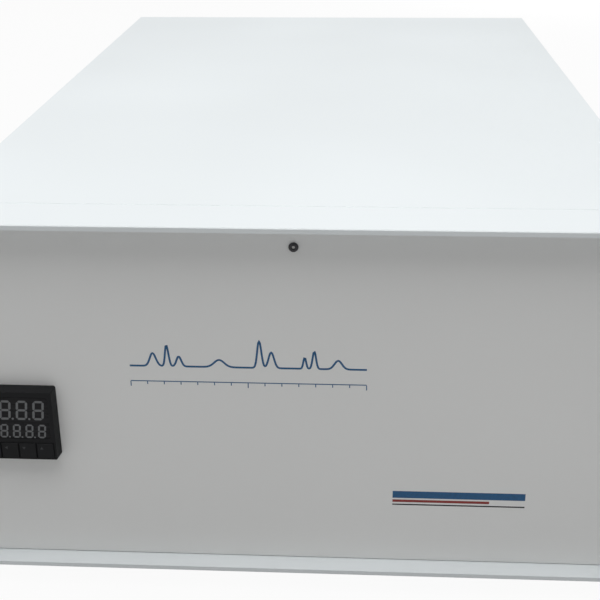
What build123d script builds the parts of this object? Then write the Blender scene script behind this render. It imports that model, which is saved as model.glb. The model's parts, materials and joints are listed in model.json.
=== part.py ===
# Bench infrared gas analyser: a wide, deep, flat metal case with a recessed front panel, a small
# temperature controller on the left, and a heated gas cell and an interferometer inside.
# Millimetres. x runs across the front, y runs from the front to the rear, z is up.
# Every piece is built with y = 0 at the front lips and z = 0 at the floor, and is moved
# back by half the total depth when it is written, so the origin is below the middle.
from build123d import *
import math
import os

os.makedirs("parts", exist_ok=True)

# Driving dimensions of the case
BODY_WIDTH = 430.0
BODY_HEIGHT = 232.0
BODY_DEPTH = 700.0
REAR_REACH = 30.0
FOOT_HEIGHT = 14.0
FOOT_RADIUS = 12.0
FOOT_TOP_RADIUS = 14.0
FOOT_INSET = 45.0
SKIN = 1.5
TRAY_SHEET = 2.0
SHEET_FLANGE = 14.0
TRAY_FLANGE = 24.0
FOOT_STEM = 4.0
CASE_SCREW_RADIUS = 1.5
CASE_SCREW_HEAD = 2.9
CASE_SCREW_HEAD_HEIGHT = 1.9
CASE_SCREW_SOCKET = 1.0
CASE_SCREW_SOCKET_DEPTH = 1.2
CASE_SCREW_LENGTH = 8.0
CASE_SCREW_RISE = 12.0
CASE_SCREW_INSET = 8.0

# Front frame, panel and its screw
LIP = 3.2
LIP_CHAMFER = 0.5
BEZEL_DEPTH = 38.0
BEZEL_CORNER = 2.5
PANEL_RECESS = 13.0
PANEL_THICKNESS = 3.0
PANEL_GAP = 0.5
SEAT_WIDTH = 16.0
SEAT_TOP = 20.0
SEAT_THICKNESS = 3.0
PANEL_SCREW_DROP = 12.5
PANEL_SCREW_RADIUS = 1.5
PANEL_SCREW_LENGTH = 12.0
PANEL_SCREW_HEAD = 2.85
PANEL_SCREW_HEAD_HEIGHT = 1.65
HOOK_WIDTH = 22.0
HOOK_PITCH = 260.0
HOOK_RISE = 8.0
HOOK_THICKNESS = 3.0
HOOK_REACH = 4.0
PANEL_SCREW_SOCKET = 2.0
THREAD_BOSS = 5.0
THREAD_BOSS_LENGTH = 7.0

# Service lid, its gasket, hinges and catches
LID_SHEET = 1.5
LID_FLANGE = 14.0
LID_GAP = 0.5
GASKET = 1.5
GASKET_WIDTH = 8.0
REAR_SWING = 13.0
REST_WIDTH = 12.5
HINGE_STANDOFF = 4.5
HINGE_BELOW_TOP = 8.0
HINGE_PIN_RADIUS = 1.5
KNUCKLE_RADIUS = 3.4
KNUCKLE_LENGTH = 20.0
KNUCKLE_GAP = 0.4
HINGE_LEAF = 1.5
HINGE_LEAF_DROP = 24.0
HINGE_OFFSET = 130.0
CATCH_OFFSET = 120.0
CATCH_LENGTH = 34.0
CATCH_DEPTH = 12.0
CATCH_HEIGHT = 10.0

# Vents in the side panels
VENT_COUNT = 8
VENT_PITCH = 12.0
VENT_WIDTH = 4.0
VENT_HEIGHT = 56.0
VENT_FROM_REAR = 60.0
VENT_Z = 90.0

# Clearances
SLIDE_GAP = 0.3
RUNNING_GAP = 0.05
THREAD_GAP = 0.05

# Temperature controller, one sixteenth of the standard 192 mm size
CONTROLLER_SIZE = 48.0
CONTROLLER_INSET = 45.3
CONTROLLER_HEIGHT = 100.3
CONTROLLER_PROUD = 8.5
CONTROLLER_TAPER = 0.8
CONTROLLER_CORNER = 1.6
CASE_SIZE = 44.8
CASE_DEPTH = 62.0
CASE_WALL = 1.8
CUTOUT_SIZE = 45.4
WINDOW_HEIGHT = 31.0
WINDOW_WIDTH = 43.0
WINDOW_THICKNESS = 1.2
WINDOW_RISE = 5.6
DISPLAY_THICKNESS = 1.6
KEY_COUNT = 4
KEY_PITCH = 11.0
KEY_WIDTH = 10.2
KEY_HEIGHT = 10.4
KEY_DROP = 17.0
KEY_PROUD = 0.6
KEY_TRAVEL = 0.8
KEY_STEM = 4.0
BEZEL_FACE = 2.2
TERMINAL_COUNT = 6
TERMINAL_PITCH = 6.4
TERMINAL_DEPTH = 9.0
CLAMP_DEPTH = 9.0
CLAMP_ARM_REACH = 30.0
CLAMP_ARM_WIDTH = 10.0
CLAMP_ARM_THICKNESS = 2.2

# Mains inlet, switch, fuse drawer, data socket and earth stud on the rear
INLET_INSET = 65.0
INLET_HEIGHT = 62.0
INLET_WIDTH = 30.0
INLET_FLANGE_WIDTH = 50.0
INLET_FLANGE_TALL = 72.0
INLET_FLANGE_THICKNESS = 3.0
INLET_DEPTH = 26.0
INLET_CAVITY_WIDTH = 24.6
INLET_CAVITY_TALL = 16.6
INLET_CAVITY_DEPTH = 16.0
INLET_CORNER = 4.5
INLET_PIN_WIDTH = 2.0
INLET_PIN_TALL = 4.0
INLET_PIN_PITCH = 14.0
INLET_PIN_SET = 5.0
SWITCH_RISE = 22.0
SWITCH_WIDTH = 25.0
SWITCH_TALL = 12.0
SWITCH_PIN_LENGTH = 1.5
SWITCH_TILT = 8.0
SWITCH_PIVOT_DEPTH = 4.0
SWITCH_PIN = 1.2
FUSE_DROP = 19.0
FUSE_WIDTH = 22.0
FUSE_TALL = 7.0
FUSE_DEPTH = 20.0
DATA_X = -60.0
DATA_HEIGHT = 60.0
DATA_WIDTH = 16.0
DATA_TALL = 14.0
DATA_DEPTH = 22.0
DATA_CAVITY_WIDTH = 11.8
DATA_CAVITY_TALL = 8.4
DATA_CAVITY_DEPTH = 13.0
EARTH_X = -95.0
EARTH_RADIUS = 3.0
EARTH_REACH = 16.0

# Cooling fan
FAN_INSET = 75.0
FAN_HEIGHT = 122.0
FAN_SIZE = 92.0
FAN_DEPTH = 25.0
FAN_BORE = 43.0
FAN_HUB = 19.0
FAN_BLADES = 7
FAN_BLADE_TILT = 38.0
FAN_TIP_GAP = 1.0
FAN_SHAFT = 2.0
FAN_SCREW_PITCH = 82.5
GUARD_WIRE = 1.0
GUARD_RINGS = 4

# Gas ports: bulkhead fittings for 6 mm tube
PORT_XS = (-20.0, 20.0, 60.0)
PORT_HEIGHT = 165.0
PORT_TUBE = 6.0
PORT_BORE = 3.05
PORT_BORE_LENGTH = 14.0
PORT_NUT_ACROSS = 14.0
PORT_NUT_LENGTH = 12.0
PORT_BODY_RADIUS = 5.5
PORT_INSIDE = 20.0
DIFFUSER_START = 34.0
DIFFUSER_END = 7.0
LINE_BEND = 14.0
LOCK_NUT_THICKNESS = 5.0
LOCK_NUT_ACROSS = 17.0

# Optical bench inside the case
PLATE_X = 20.0
PLATE_WIDTH = 340.0
PLATE_FRONT = 112.0
PLATE_TAIL = 7.0
PLATE_THICKNESS = 12.0
PLATE_TOP = 58.0
PLATE_CORNER = 12.0
ISOLATOR_RADIUS = 13.0
ISOLATOR_INSET = 26.0
BEAM_HEIGHT = 118.0

# Interferometer: beamsplitter, swinging arm with two corner cubes, and its drive
SPLITTER_X = -30.0
SPLITTER_RADIUS = 25.0
SPLITTER_THICKNESS = 6.0
MOUNT_RADIUS = 32.0
MOUNT_THICKNESS = 14.0
BASE_LEFT = 45.0
BASE_RIGHT = 128.0
BASE_FRONT = 40.0
BASE_REAR = 115.0
ARM_REACH = 75.0
PIVOT_OFFSET = 62.0
BASE_STEP = 8.0
ARM_Z = 84.0
ARM_THICKNESS = 10.0
ARM_WIDTH = 22.0
PIVOT_RADIUS = 5.0
PIVOT_BOSS = 13.0
CUBE_RADIUS = 17.0
CUBE_LENGTH = 26.0
CUBE_HOLLOW = 14.0
CUBE_POST = 7.0
COIL_REACH = 55.0
COIL_Z = 110.0
COIL_RADIUS = 9.0
COIL_BORE = 7.0
COIL_LENGTH = 18.0
YOKE_OFFSET = 12.0
YOKE_RADIUS = 17.0
YOKE_LENGTH = 24.0
YOKE_CORE = 5.5
YOKE_WALL = 5.0

# Source, laser, mirrors, detector
SOURCE_X = -118.0
SOURCE_SIZE = 56.0
SOURCE_FINS = 6
SOURCE_FIN_REACH = 12.0
SOURCE_BORE = 14.0
MIRROR_RADIUS = 24.0
MIRROR_THICKNESS = 12.0
LASER_RADIUS = 14.0
LASER_LENGTH = 150.0
FOLD_GAP = 28.0
SPLITTER_GAP = 70.0
COLLIMATOR_GAP = 98.0
DETECTOR_GAP = 100.0
FOLD_RADIUS = 20.0
CELL_FOLD_RADIUS = 11.0
DETECTOR_SIZE = 54.0
BEAM_SPLIT = 13.0
SNOUT_RADIUS = 12.0

# Heated gas cell
CELL_X = 118.0
CELL_FRONT = 132.0
CELL_LENGTH = 220.0
CELL_RADIUS = 36.0
CELL_BORE = 30.0
CELL_FLANGE_RADIUS = 48.0
CELL_FLANGE_THICKNESS = 12.0
JACKET_THICKNESS = 14.0
JACKET_GAP = 0.3
CAP_THICKNESS = 10.0
WINDOW_RADIUS = 24.0
WINDOW_PLATE = 5.0
CELL_MIRROR_THICKNESS = 8.0
CELL_BOLTS = 6

# Electronics
SUPPLY_INSET = 90.0
SUPPLY_LENGTH = 150.0
SUPPLY_WIDTH = 70.0
SUPPLY_TALL = 42.0
SUPPLY_LIFT = 4.0
BOARD_X = 30.0
BOARD_WIDTH = 250.0
BOARD_DEPTH = 62.0
BOARD_THICKNESS = 1.6
BOARD_STANDOFF = 10.0
# Share of the width, offset from the front, width, depth and height of each part on the board
BOARD_PARTS = (
    (0.12, 12.0, 34.0, 34.0, 6.0),
    (0.24, 6.0, 8.0, 40.0, 9.0),
    (0.36, 14.0, 22.0, 22.0, 3.0),
    (0.52, 10.0, 40.0, 12.0, 14.0),
    (0.72, 20.0, 28.0, 28.0, 18.0),
    (0.90, 8.0, 14.0, 46.0, 12.0),
)
RELAY_INSET = 40.0
RELAY_Y = 150.0
RELAY_LENGTH = 58.0
RELAY_WIDTH = 42.0
RELAY_TALL = 24.0
WIRE_RADIUS = 2.5
WIRE_BEND = 8.0
WIRE_LEAD = 20.0
WIRE_LANE = 13.0
WIRE_CLIP_WIDTH = 9.0
WIRE_CLIP_COVER = 1.5
WIRE_CLIP_LENGTH = 8.0
WIRE_CLIP_YS = (250.0, 440.0)
WIRE_Z = 34.0

# Derived planes
BASE_Z = FOOT_HEIGHT
TOP_Z = FOOT_HEIGHT + BODY_HEIGHT
HALF_WIDTH = BODY_WIDTH / 2
CONTROLLER_X = CONTROLLER_INSET - HALF_WIDTH
INLET_X = INLET_INSET - HALF_WIDTH
FAN_X = HALF_WIDTH - FAN_INSET
RELAY_X = RELAY_INSET - HALF_WIDTH
SUPPLY_X = SUPPLY_INSET - HALF_WIDTH
FOLD_Y = CELL_FRONT + CELL_LENGTH + FOLD_GAP
SPLITTER_Y = FOLD_Y + SPLITTER_GAP
SOURCE_Y = SPLITTER_Y - COLLIMATOR_GAP
DETECTOR_Y = FOLD_Y + DETECTOR_GAP
PLATE_LENGTH = SPLITTER_Y + BASE_REAR + PLATE_TAIL - PLATE_FRONT
TOTAL_DEPTH = BODY_DEPTH + REAR_REACH
FLOOR_Z = BASE_Z + TRAY_SHEET
PANEL_FRONT = PANEL_RECESS
PANEL_BACK = PANEL_RECESS + PANEL_THICKNESS
SEAT_BACK = PANEL_BACK + SEAT_THICKNESS
INNER_HALF = HALF_WIDTH - LIP
LID_UNDER = TOP_Z - LID_SHEET
REST_TOP = LID_UNDER - GASKET
FLANGE_BOTTOM = TOP_Z - LID_FLANGE
SHELF_Z = FLANGE_BOTTOM - LID_GAP
JOGGLE_X = HALF_WIDTH - LID_SHEET - LID_GAP
REAR_INNER = BODY_DEPTH - SKIN
HINGE_Y = BODY_DEPTH + HINGE_STANDOFF
HINGE_Z = TOP_Z - HINGE_BELOW_TOP
CONTROLLER_Z = BASE_Z + CONTROLLER_HEIGHT
PANEL_SCREW_Z = TOP_Z - LIP - PANEL_SCREW_DROP
REAR_LIP_Y = BODY_DEPTH - LID_SHEET - REAR_SWING
FOOT_SPOTS = [
    (sx * (HALF_WIDTH - FOOT_INSET), y)
    for sx in (-1, 1)
    for y in (BEZEL_DEPTH + FOOT_INSET, BODY_DEPTH - FOOT_INSET)
]
REAR_LOW_SCREWS = [(sx * HALF_WIDTH * 0.8, BASE_Z + CASE_SCREW_RISE) for sx in (-1, 0, 1)]
REAR_SIDE_SCREWS = [
    (sx * (HALF_WIDTH - SKIN - CASE_SCREW_INSET), BASE_Z + BODY_HEIGHT * share)
    for sx in (-1, 1)
    for share in (0.35, 0.8)
]
SIDE_SCREW_YS = [BEZEL_DEPTH + (BODY_DEPTH - BEZEL_DEPTH) * share for share in (0.15, 0.5, 0.85)]


# Shared shapes
def block(x0, x1, y0, y1, z0, z1):
    """A box between two corners."""
    centre = Location(((x0 + x1) / 2, (y0 + y1) / 2, (z0 + z1) / 2))
    return centre * Box(x1 - x0, y1 - y0, z1 - z0)


def rod_x(x0, x1, y, z, radius):
    """A round bar along x."""
    return Pos((x0 + x1) / 2, y, z) * Rot(0, 90, 0) * Cylinder(radius, x1 - x0)


def rod_y(x, y0, y1, z, radius):
    """A round bar along y."""
    return Pos(x, (y0 + y1) / 2, z) * Rot(90, 0, 0) * Cylinder(radius, y1 - y0)


def rod_z(x, y, z0, z1, radius):
    """A round bar along z."""
    return Pos(x, y, (z0 + z1) / 2) * Cylinder(radius, z1 - z0)


def hex_y(x, y0, y1, z, across):
    """A hexagon bar along y, given by the distance across its flats."""
    face = Plane(origin=(x, y0, z), x_dir=(1, 0, 0), z_dir=(0, 1, 0))
    return extrude(face * RegularPolygon(across / 2, 6, major_radius=False), y1 - y0)


def flush_head(side, y, z, gap):
    """The cone of a countersunk head that ends flush with the outside of a side panel."""
    return Pos(side * (HALF_WIDTH - SKIN / 2), y, z) * Rot(0, side * 90, 0) * Cone(
        CASE_SCREW_RADIUS + gap, CASE_SCREW_HEAD + gap, SKIN)


def tube_along(points, bend, radius):
    """A round line through the points, with each corner bent to one radius."""
    path = FilletPolyline(*points, radius=bend)
    section = Plane(origin=path @ 0, z_dir=path % 0) * Circle(radius)
    return sweep(section, path=path)


def rounded_prism_y(x, z, width, tall, corner, y0, y1, taper=0.0):
    """A rounded rectangle extruded towards +y, its sides drawn in by the taper in degrees."""
    face = Plane(origin=(x, y0, z), x_dir=(1, 0, 0), z_dir=(0, 1, 0))
    return extrude(face * RectangleRounded(width, tall, corner), y1 - y0, taper=taper)


nodes = {}


def keep(name, *solids):
    """Remember the solids of one node."""
    nodes[name] = Compound(children=[piece for solid in solids for piece in solid.solids()])


# Case
def make_base_tray():
    """Folded steel tray that carries everything, with holes for the feet and the side screws."""
    half = HALF_WIDTH - SKIN
    tray = block(-half, half, BEZEL_DEPTH, REAR_INNER, BASE_Z, FLOOR_Z)
    for sx in (-1, 1):
        inner = sx * (half - TRAY_SHEET)
        tray += block(min(inner, sx * half), max(inner, sx * half), BEZEL_DEPTH, REAR_INNER,
                      BASE_Z, BASE_Z + TRAY_FLANGE)
    for y in (BEZEL_DEPTH, REAR_INNER - TRAY_SHEET):
        tray += block(-half, half, y, y + TRAY_SHEET, BASE_Z, BASE_Z + TRAY_FLANGE)
    for x, y in FOOT_SPOTS:
        tray -= rod_z(x, y, BASE_Z - 1, FLOOR_Z + 1, FOOT_STEM + THREAD_GAP)
    for x, z in REAR_LOW_SCREWS:
        tray -= rod_y(x, REAR_INNER - TRAY_SHEET - 1, BODY_DEPTH, z, CASE_SCREW_RADIUS + THREAD_GAP)
    for y in SIDE_SCREW_YS:
        tray -= rod_x(-HALF_WIDTH, HALF_WIDTH, y, BASE_Z + CASE_SCREW_RISE, CASE_SCREW_RADIUS + THREAD_GAP)
    keep("base_tray", tray)


def make_front_bezel():
    """Deep front frame: four thin lips, a seat for the panel and a rear flange with a lid rest."""
    middle = BASE_Z + BODY_HEIGHT / 2
    outer = rounded_prism_y(0, middle, BODY_WIDTH, BODY_HEIGHT, BEZEL_CORNER, 0, BEZEL_DEPTH)
    outer = chamfer(outer.faces().sort_by(Axis.Y)[0].edges(), LIP_CHAMFER)
    frame = outer - block(-INNER_HALF, INNER_HALF, -1, PANEL_BACK, BASE_Z + LIP, TOP_Z - LIP)
    opening = (-INNER_HALF + SEAT_WIDTH, INNER_HALF - SEAT_WIDTH)
    opening_z = (BASE_Z + LIP + SEAT_WIDTH, TOP_Z - LIP - SEAT_TOP)
    frame -= block(*opening, 0, BEZEL_DEPTH + 1, *opening_z)
    frame -= block(-INNER_HALF, INNER_HALF, SEAT_BACK, BEZEL_DEPTH - SEAT_THICKNESS,
                   BASE_Z + LIP, TOP_Z - LIP)
    shelf_half = JOGGLE_X - SHEET_FLANGE - LID_GAP
    shelf = block(-shelf_half, shelf_half, BEZEL_DEPTH, BEZEL_DEPTH + SHEET_FLANGE, REST_TOP - SKIN, REST_TOP)
    frame += shelf
    for sx in (-1, 1):
        x = sx * CATCH_OFFSET
        frame -= block(x - CATCH_LENGTH / 2 + 3, x + CATCH_LENGTH / 2 - 3, BEZEL_DEPTH + 2,
                       BEZEL_DEPTH + CATCH_DEPTH - 2, REST_TOP - SKIN - 1, REST_TOP + 1)
        hook_x = sx * HOOK_PITCH / 2
        hook_z = BASE_Z + LIP + HOOK_RISE
        frame -= block(hook_x - HOOK_WIDTH / 2 - SLIDE_GAP, hook_x + HOOK_WIDTH / 2 + SLIDE_GAP,
                       PANEL_BACK - 1, SEAT_BACK + 1, hook_z - SLIDE_GAP, hook_z + HOOK_THICKNESS + SLIDE_GAP)
    frame += rod_y(0, SEAT_BACK, SEAT_BACK + THREAD_BOSS_LENGTH, PANEL_SCREW_Z, THREAD_BOSS)
    frame -= rod_y(0, PANEL_BACK - 1, SEAT_BACK + THREAD_BOSS_LENGTH + 1, PANEL_SCREW_Z,
                   PANEL_SCREW_RADIUS + THREAD_GAP)
    keep("front_bezel", frame)


def make_front_panel():
    """Flat recessed plate with the controller cut-out, one screw hole and two hooks behind its foot."""
    half = INNER_HALF - PANEL_GAP
    plate = block(-half, half, PANEL_FRONT, PANEL_BACK, BASE_Z + LIP + PANEL_GAP, TOP_Z - LIP - PANEL_GAP)
    cut = CUTOUT_SIZE / 2
    plate -= block(CONTROLLER_X - cut, CONTROLLER_X + cut, 0, PANEL_BACK + 1,
                   CONTROLLER_Z - cut, CONTROLLER_Z + cut)
    plate -= rod_y(0, 0, PANEL_BACK + 1, PANEL_SCREW_Z, PANEL_SCREW_RADIUS + SLIDE_GAP)
    hook_z = BASE_Z + LIP + HOOK_RISE
    tab_y = SEAT_BACK + SLIDE_GAP
    for sx in (-1, 1):
        x0 = sx * HOOK_PITCH / 2 - HOOK_WIDTH / 2
        x1 = x0 + HOOK_WIDTH
        plate += block(x0, x1, PANEL_BACK, tab_y + HOOK_THICKNESS, hook_z, hook_z + HOOK_THICKNESS)
        plate += block(x0, x1, tab_y, tab_y + HOOK_THICKNESS, hook_z - HOOK_REACH, hook_z + HOOK_THICKNESS)
    keep("front_panel", plate)


def make_panel_screw():
    """Button-head screw with a hexagon socket."""
    head = rod_y(0, PANEL_FRONT - PANEL_SCREW_HEAD_HEIGHT, PANEL_FRONT, PANEL_SCREW_Z, PANEL_SCREW_HEAD)
    head = fillet(head.faces().sort_by(Axis.Y)[0].edges(), PANEL_SCREW_HEAD_HEIGHT * 0.7)
    screw = head + rod_y(0, PANEL_FRONT, PANEL_FRONT + PANEL_SCREW_LENGTH, PANEL_SCREW_Z, PANEL_SCREW_RADIUS)
    screw -= hex_y(0, PANEL_FRONT - PANEL_SCREW_HEAD_HEIGHT - 1, PANEL_FRONT - 0.8,
                   PANEL_SCREW_Z, PANEL_SCREW_SOCKET)
    keep("panel_screw", screw)


def side_panel(sx):
    """Side sheet with a joggled top that the lid's flange laps, a rest for the gasket and vent slots."""
    def place(x0, x1, y0, y1, z0, z1):
        return block(min(sx * x0, sx * x1), max(sx * x0, sx * x1), y0, y1, z0, z1)
    joggle_end = REAR_LIP_Y - SKIN - SLIDE_GAP
    panel = place(HALF_WIDTH - SKIN, HALF_WIDTH, BEZEL_DEPTH, REAR_INNER, BASE_Z, SHELF_Z)
    panel += place(JOGGLE_X - SKIN, HALF_WIDTH, BEZEL_DEPTH, joggle_end, SHELF_Z - SKIN, SHELF_Z)
    panel += place(JOGGLE_X - SKIN, JOGGLE_X, BEZEL_DEPTH, joggle_end, SHELF_Z - SKIN, REST_TOP)
    panel += place(JOGGLE_X - SHEET_FLANGE, JOGGLE_X, BEZEL_DEPTH, joggle_end, REST_TOP - SKIN, REST_TOP)
    inner = HALF_WIDTH - SKIN - SHEET_FLANGE
    flange_z = BASE_Z + TRAY_FLANGE + SKIN
    panel += place(inner, HALF_WIDTH, BEZEL_DEPTH, BEZEL_DEPTH + SKIN, flange_z, SHELF_Z)
    panel += place(inner, HALF_WIDTH, REAR_INNER - SKIN, REAR_INNER, flange_z, SHELF_Z - 2 * SKIN)
    for index in range(VENT_COUNT):
        y = BODY_DEPTH - VENT_FROM_REAR - index * VENT_PITCH
        panel -= place(HALF_WIDTH - SKIN - 1, HALF_WIDTH + 1, y - VENT_WIDTH / 2, y + VENT_WIDTH / 2,
                       VENT_Z, VENT_Z + VENT_HEIGHT)
    for y in SIDE_SCREW_YS:
        end = sx * (HALF_WIDTH + 1)
        start = sx * (HALF_WIDTH - SKIN - 1)
        panel -= rod_x(min(start, end), max(start, end), y, BASE_Z + CASE_SCREW_RISE,
                       CASE_SCREW_RADIUS + THREAD_GAP)
        panel -= flush_head(sx, y, BASE_Z + CASE_SCREW_RISE, THREAD_GAP)
    for x, z in REAR_SIDE_SCREWS:
        if x * sx > 0:
            panel -= rod_y(x, REAR_INNER - SKIN - 1, REAR_INNER + 1, z, CASE_SCREW_RADIUS + THREAD_GAP)
    return panel


def make_side_panels():
    """The two side sheets are mirror images."""
    keep("left_side_panel", side_panel(-1))
    keep("right_side_panel", side_panel(1))


def make_rear_panel():
    """Rear sheet with the cut-outs for the fan, inlet, ports, data socket and earth stud."""
    panel = block(-HALF_WIDTH, HALF_WIDTH, REAR_INNER, BODY_DEPTH, BASE_Z, SHELF_Z)
    web_half = HALF_WIDTH - SKIN - SLIDE_GAP
    rest_half = JOGGLE_X - SKIN
    panel += block(-web_half, web_half, REAR_LIP_Y - SKIN, BODY_DEPTH, SHELF_Z - SKIN, SHELF_Z)
    panel += block(-rest_half, rest_half, REAR_LIP_Y - SKIN, REAR_LIP_Y, SHELF_Z - SKIN, REST_TOP)
    rest_inner = JOGGLE_X - SHEET_FLANGE - LID_GAP
    panel += block(-rest_inner, rest_inner, REAR_LIP_Y - REST_WIDTH, REAR_LIP_Y, REST_TOP - SKIN, REST_TOP)
    for x, z in REAR_LOW_SCREWS + REAR_SIDE_SCREWS:
        panel -= rod_y(x, REAR_INNER - 1, BODY_DEPTH + 1, z, CASE_SCREW_RADIUS + THREAD_GAP)
    panel -= rod_y(FAN_X, REAR_INNER - 1, BODY_DEPTH + 1, BASE_Z + FAN_HEIGHT, FAN_BORE)
    for dx in (-1, 1):
        for dz in (-1, 1):
            panel -= rod_y(FAN_X + dx * FAN_SCREW_PITCH / 2, REAR_INNER - 1, BODY_DEPTH + 1,
                           BASE_Z + FAN_HEIGHT + dz * FAN_SCREW_PITCH / 2, CASE_SCREW_RADIUS + THREAD_GAP)
    inlet_z = BASE_Z + INLET_HEIGHT
    panel -= block(INLET_X - INLET_WIDTH / 2 - 1, INLET_X + INLET_WIDTH / 2 + 1,
                   REAR_INNER - 1, BODY_DEPTH + 1,
                   inlet_z - INLET_FLANGE_TALL / 2 + 5, inlet_z + INLET_FLANGE_TALL / 2 - 5)
    data_z = BASE_Z + DATA_HEIGHT
    panel -= block(DATA_X - DATA_WIDTH / 2 - SLIDE_GAP, DATA_X + DATA_WIDTH / 2 + SLIDE_GAP,
                   REAR_INNER - 1, BODY_DEPTH + 1,
                   data_z - DATA_TALL / 2 - SLIDE_GAP, data_z + DATA_TALL / 2 + SLIDE_GAP)
    panel -= rod_y(EARTH_X, REAR_INNER - 1, BODY_DEPTH + 1, data_z, EARTH_RADIUS + THREAD_GAP)
    for x in PORT_XS:
        panel -= rod_y(x, REAR_INNER - 1, BODY_DEPTH + 1, BASE_Z + PORT_HEIGHT, PORT_BODY_RADIUS + THREAD_GAP)
    keep("rear_panel", panel)


def make_rubber_feet():
    """Tapered rubber feet with a stem pushed through the tray and a head that holds it."""
    feet = []
    for x, y in FOOT_SPOTS:
        foot = Pos(x, y, FOOT_HEIGHT / 2) * Cone(FOOT_RADIUS, FOOT_TOP_RADIUS, FOOT_HEIGHT)
        foot += rod_z(x, y, FOOT_HEIGHT, FLOOR_Z, FOOT_STEM)
        foot += rod_z(x, y, FLOOR_Z, FLOOR_Z + 3, FOOT_STEM + 1.5)
        feet.append(foot)
    keep("rubber_feet", *feet)


def make_case_screws():
    """Pan-head screws of the rear panel, fan and side panels."""
    screws = []
    fan_spots = [
        (FAN_X + dx * FAN_SCREW_PITCH / 2, BASE_Z + FAN_HEIGHT + dz * FAN_SCREW_PITCH / 2)
        for dx in (-1, 1)
        for dz in (-1, 1)
    ]
    for x, z in REAR_LOW_SCREWS + REAR_SIDE_SCREWS:
        screws.append(rod_y(x, BODY_DEPTH - CASE_SCREW_LENGTH, BODY_DEPTH, z, CASE_SCREW_RADIUS)
                      + rod_y(x, BODY_DEPTH, BODY_DEPTH + CASE_SCREW_HEAD_HEIGHT, z, CASE_SCREW_HEAD))
    for x, z in fan_spots:
        head_y = BODY_DEPTH + GUARD_WIRE * 2
        screws.append(rod_y(x, BODY_DEPTH - CASE_SCREW_LENGTH, head_y, z, CASE_SCREW_RADIUS)
                      + rod_y(x, head_y, head_y + CASE_SCREW_HEAD_HEIGHT, z, CASE_SCREW_HEAD))
    z = BASE_Z + CASE_SCREW_RISE
    for sx in (-1, 1):
        ends = sorted((sx * (HALF_WIDTH - CASE_SCREW_LENGTH), sx * (HALF_WIDTH - SKIN / 2)))
        socket = sorted((sx * (HALF_WIDTH - CASE_SCREW_SOCKET_DEPTH), sx * (HALF_WIDTH + 1)))
        for y in SIDE_SCREW_YS:
            screw = rod_x(*ends, y, z, CASE_SCREW_RADIUS) + flush_head(sx, y, z, 0)
            screws.append(screw - rod_x(*socket, y, z, CASE_SCREW_SOCKET))
    keep("case_screws", *screws)


# Service lid with its gasket, hinges and catches
def make_top_lid():
    """Shallow lid pan: flat top with flanges at the sides and the rear, open at the front seam."""
    lid = block(-HALF_WIDTH, HALF_WIDTH, BEZEL_DEPTH + LID_GAP, BODY_DEPTH, FLANGE_BOTTOM, TOP_Z)
    lid -= block(-HALF_WIDTH + LID_SHEET, HALF_WIDTH - LID_SHEET, BEZEL_DEPTH - 1, BODY_DEPTH - LID_SHEET,
                 FLANGE_BOTTOM - 1, LID_UNDER)
    lid = chamfer(lid.faces().sort_by(Axis.Z)[-1].edges(), LIP_CHAMFER)
    keep("top_lid", lid)


def make_lid_gasket():
    """Flat foam gasket glued below the lid, all round its rest."""
    half = JOGGLE_X - (SHEET_FLANGE - GASKET_WIDTH) / 2
    front = BEZEL_DEPTH + LID_GAP + 1
    back = REAR_LIP_Y - (REST_WIDTH - GASKET_WIDTH) / 2
    ring = block(-half, half, front, back, REST_TOP, LID_UNDER)
    ring -= block(-half + GASKET_WIDTH, half - GASKET_WIDTH, front + GASKET_WIDTH, back - GASKET_WIDTH,
                  REST_TOP - 1, LID_UNDER + 1)
    for sx in (-1, 1):
        x = sx * CATCH_OFFSET
        ring -= block(x - CATCH_LENGTH / 2, x + CATCH_LENGTH / 2, front - 1, front + GASKET_WIDTH + 1,
                      REST_TOP - 1, LID_UNDER + 1)
    keep("lid_gasket", ring)


def make_hinges():
    """Two butt hinges behind the case: fixed leaves, lid leaves and their pins."""
    fixed = []
    moving = []
    pins = []
    step = KNUCKLE_LENGTH + KNUCKLE_GAP
    for sx in (-1, 1):
        x = sx * HINGE_OFFSET
        leaf = block(x - step - KNUCKLE_LENGTH / 2, x + step + KNUCKLE_LENGTH / 2, BODY_DEPTH,
                     BODY_DEPTH + HINGE_LEAF, SHELF_Z - HINGE_LEAF_DROP, SHELF_Z - SKIN)
        for side in (-1, 1):
            x0 = x + side * step - KNUCKLE_LENGTH / 2
            x1 = x0 + KNUCKLE_LENGTH
            leaf += block(x0, x1, BODY_DEPTH + LID_GAP, BODY_DEPTH + LID_GAP + HINGE_LEAF,
                          SHELF_Z - 2 * SKIN, HINGE_Z)
            leaf += rod_x(x0, x1, HINGE_Y, HINGE_Z, KNUCKLE_RADIUS)
            leaf -= rod_x(x0 - 0.2, x1 + 0.2, HINGE_Y, HINGE_Z, HINGE_PIN_RADIUS + THREAD_GAP)
        fixed.append(leaf)
        x0 = x - KNUCKLE_LENGTH / 2
        x1 = x0 + KNUCKLE_LENGTH
        arm = block(x0, x1, BODY_DEPTH, BODY_DEPTH + HINGE_LEAF, HINGE_Z - KNUCKLE_RADIUS, TOP_Z - 1)
        arm += rod_x(x0, x1, HINGE_Y, HINGE_Z, KNUCKLE_RADIUS)
        arm -= rod_x(x0 - 1, x1 + 1, HINGE_Y, HINGE_Z, HINGE_PIN_RADIUS + RUNNING_GAP)
        moving.append(arm)
        end = step + KNUCKLE_LENGTH / 2
        pin = rod_x(x - end, x + end, HINGE_Y, HINGE_Z, HINGE_PIN_RADIUS)
        pin += rod_x(x + end, x + end + 1, HINGE_Y, HINGE_Z, HINGE_PIN_RADIUS + 0.8)
        pins.append(pin)
    keep("hinge_leaves", *fixed)
    keep("lid_hinge_leaves", *moving)
    keep("hinge_pins", *pins)


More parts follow.
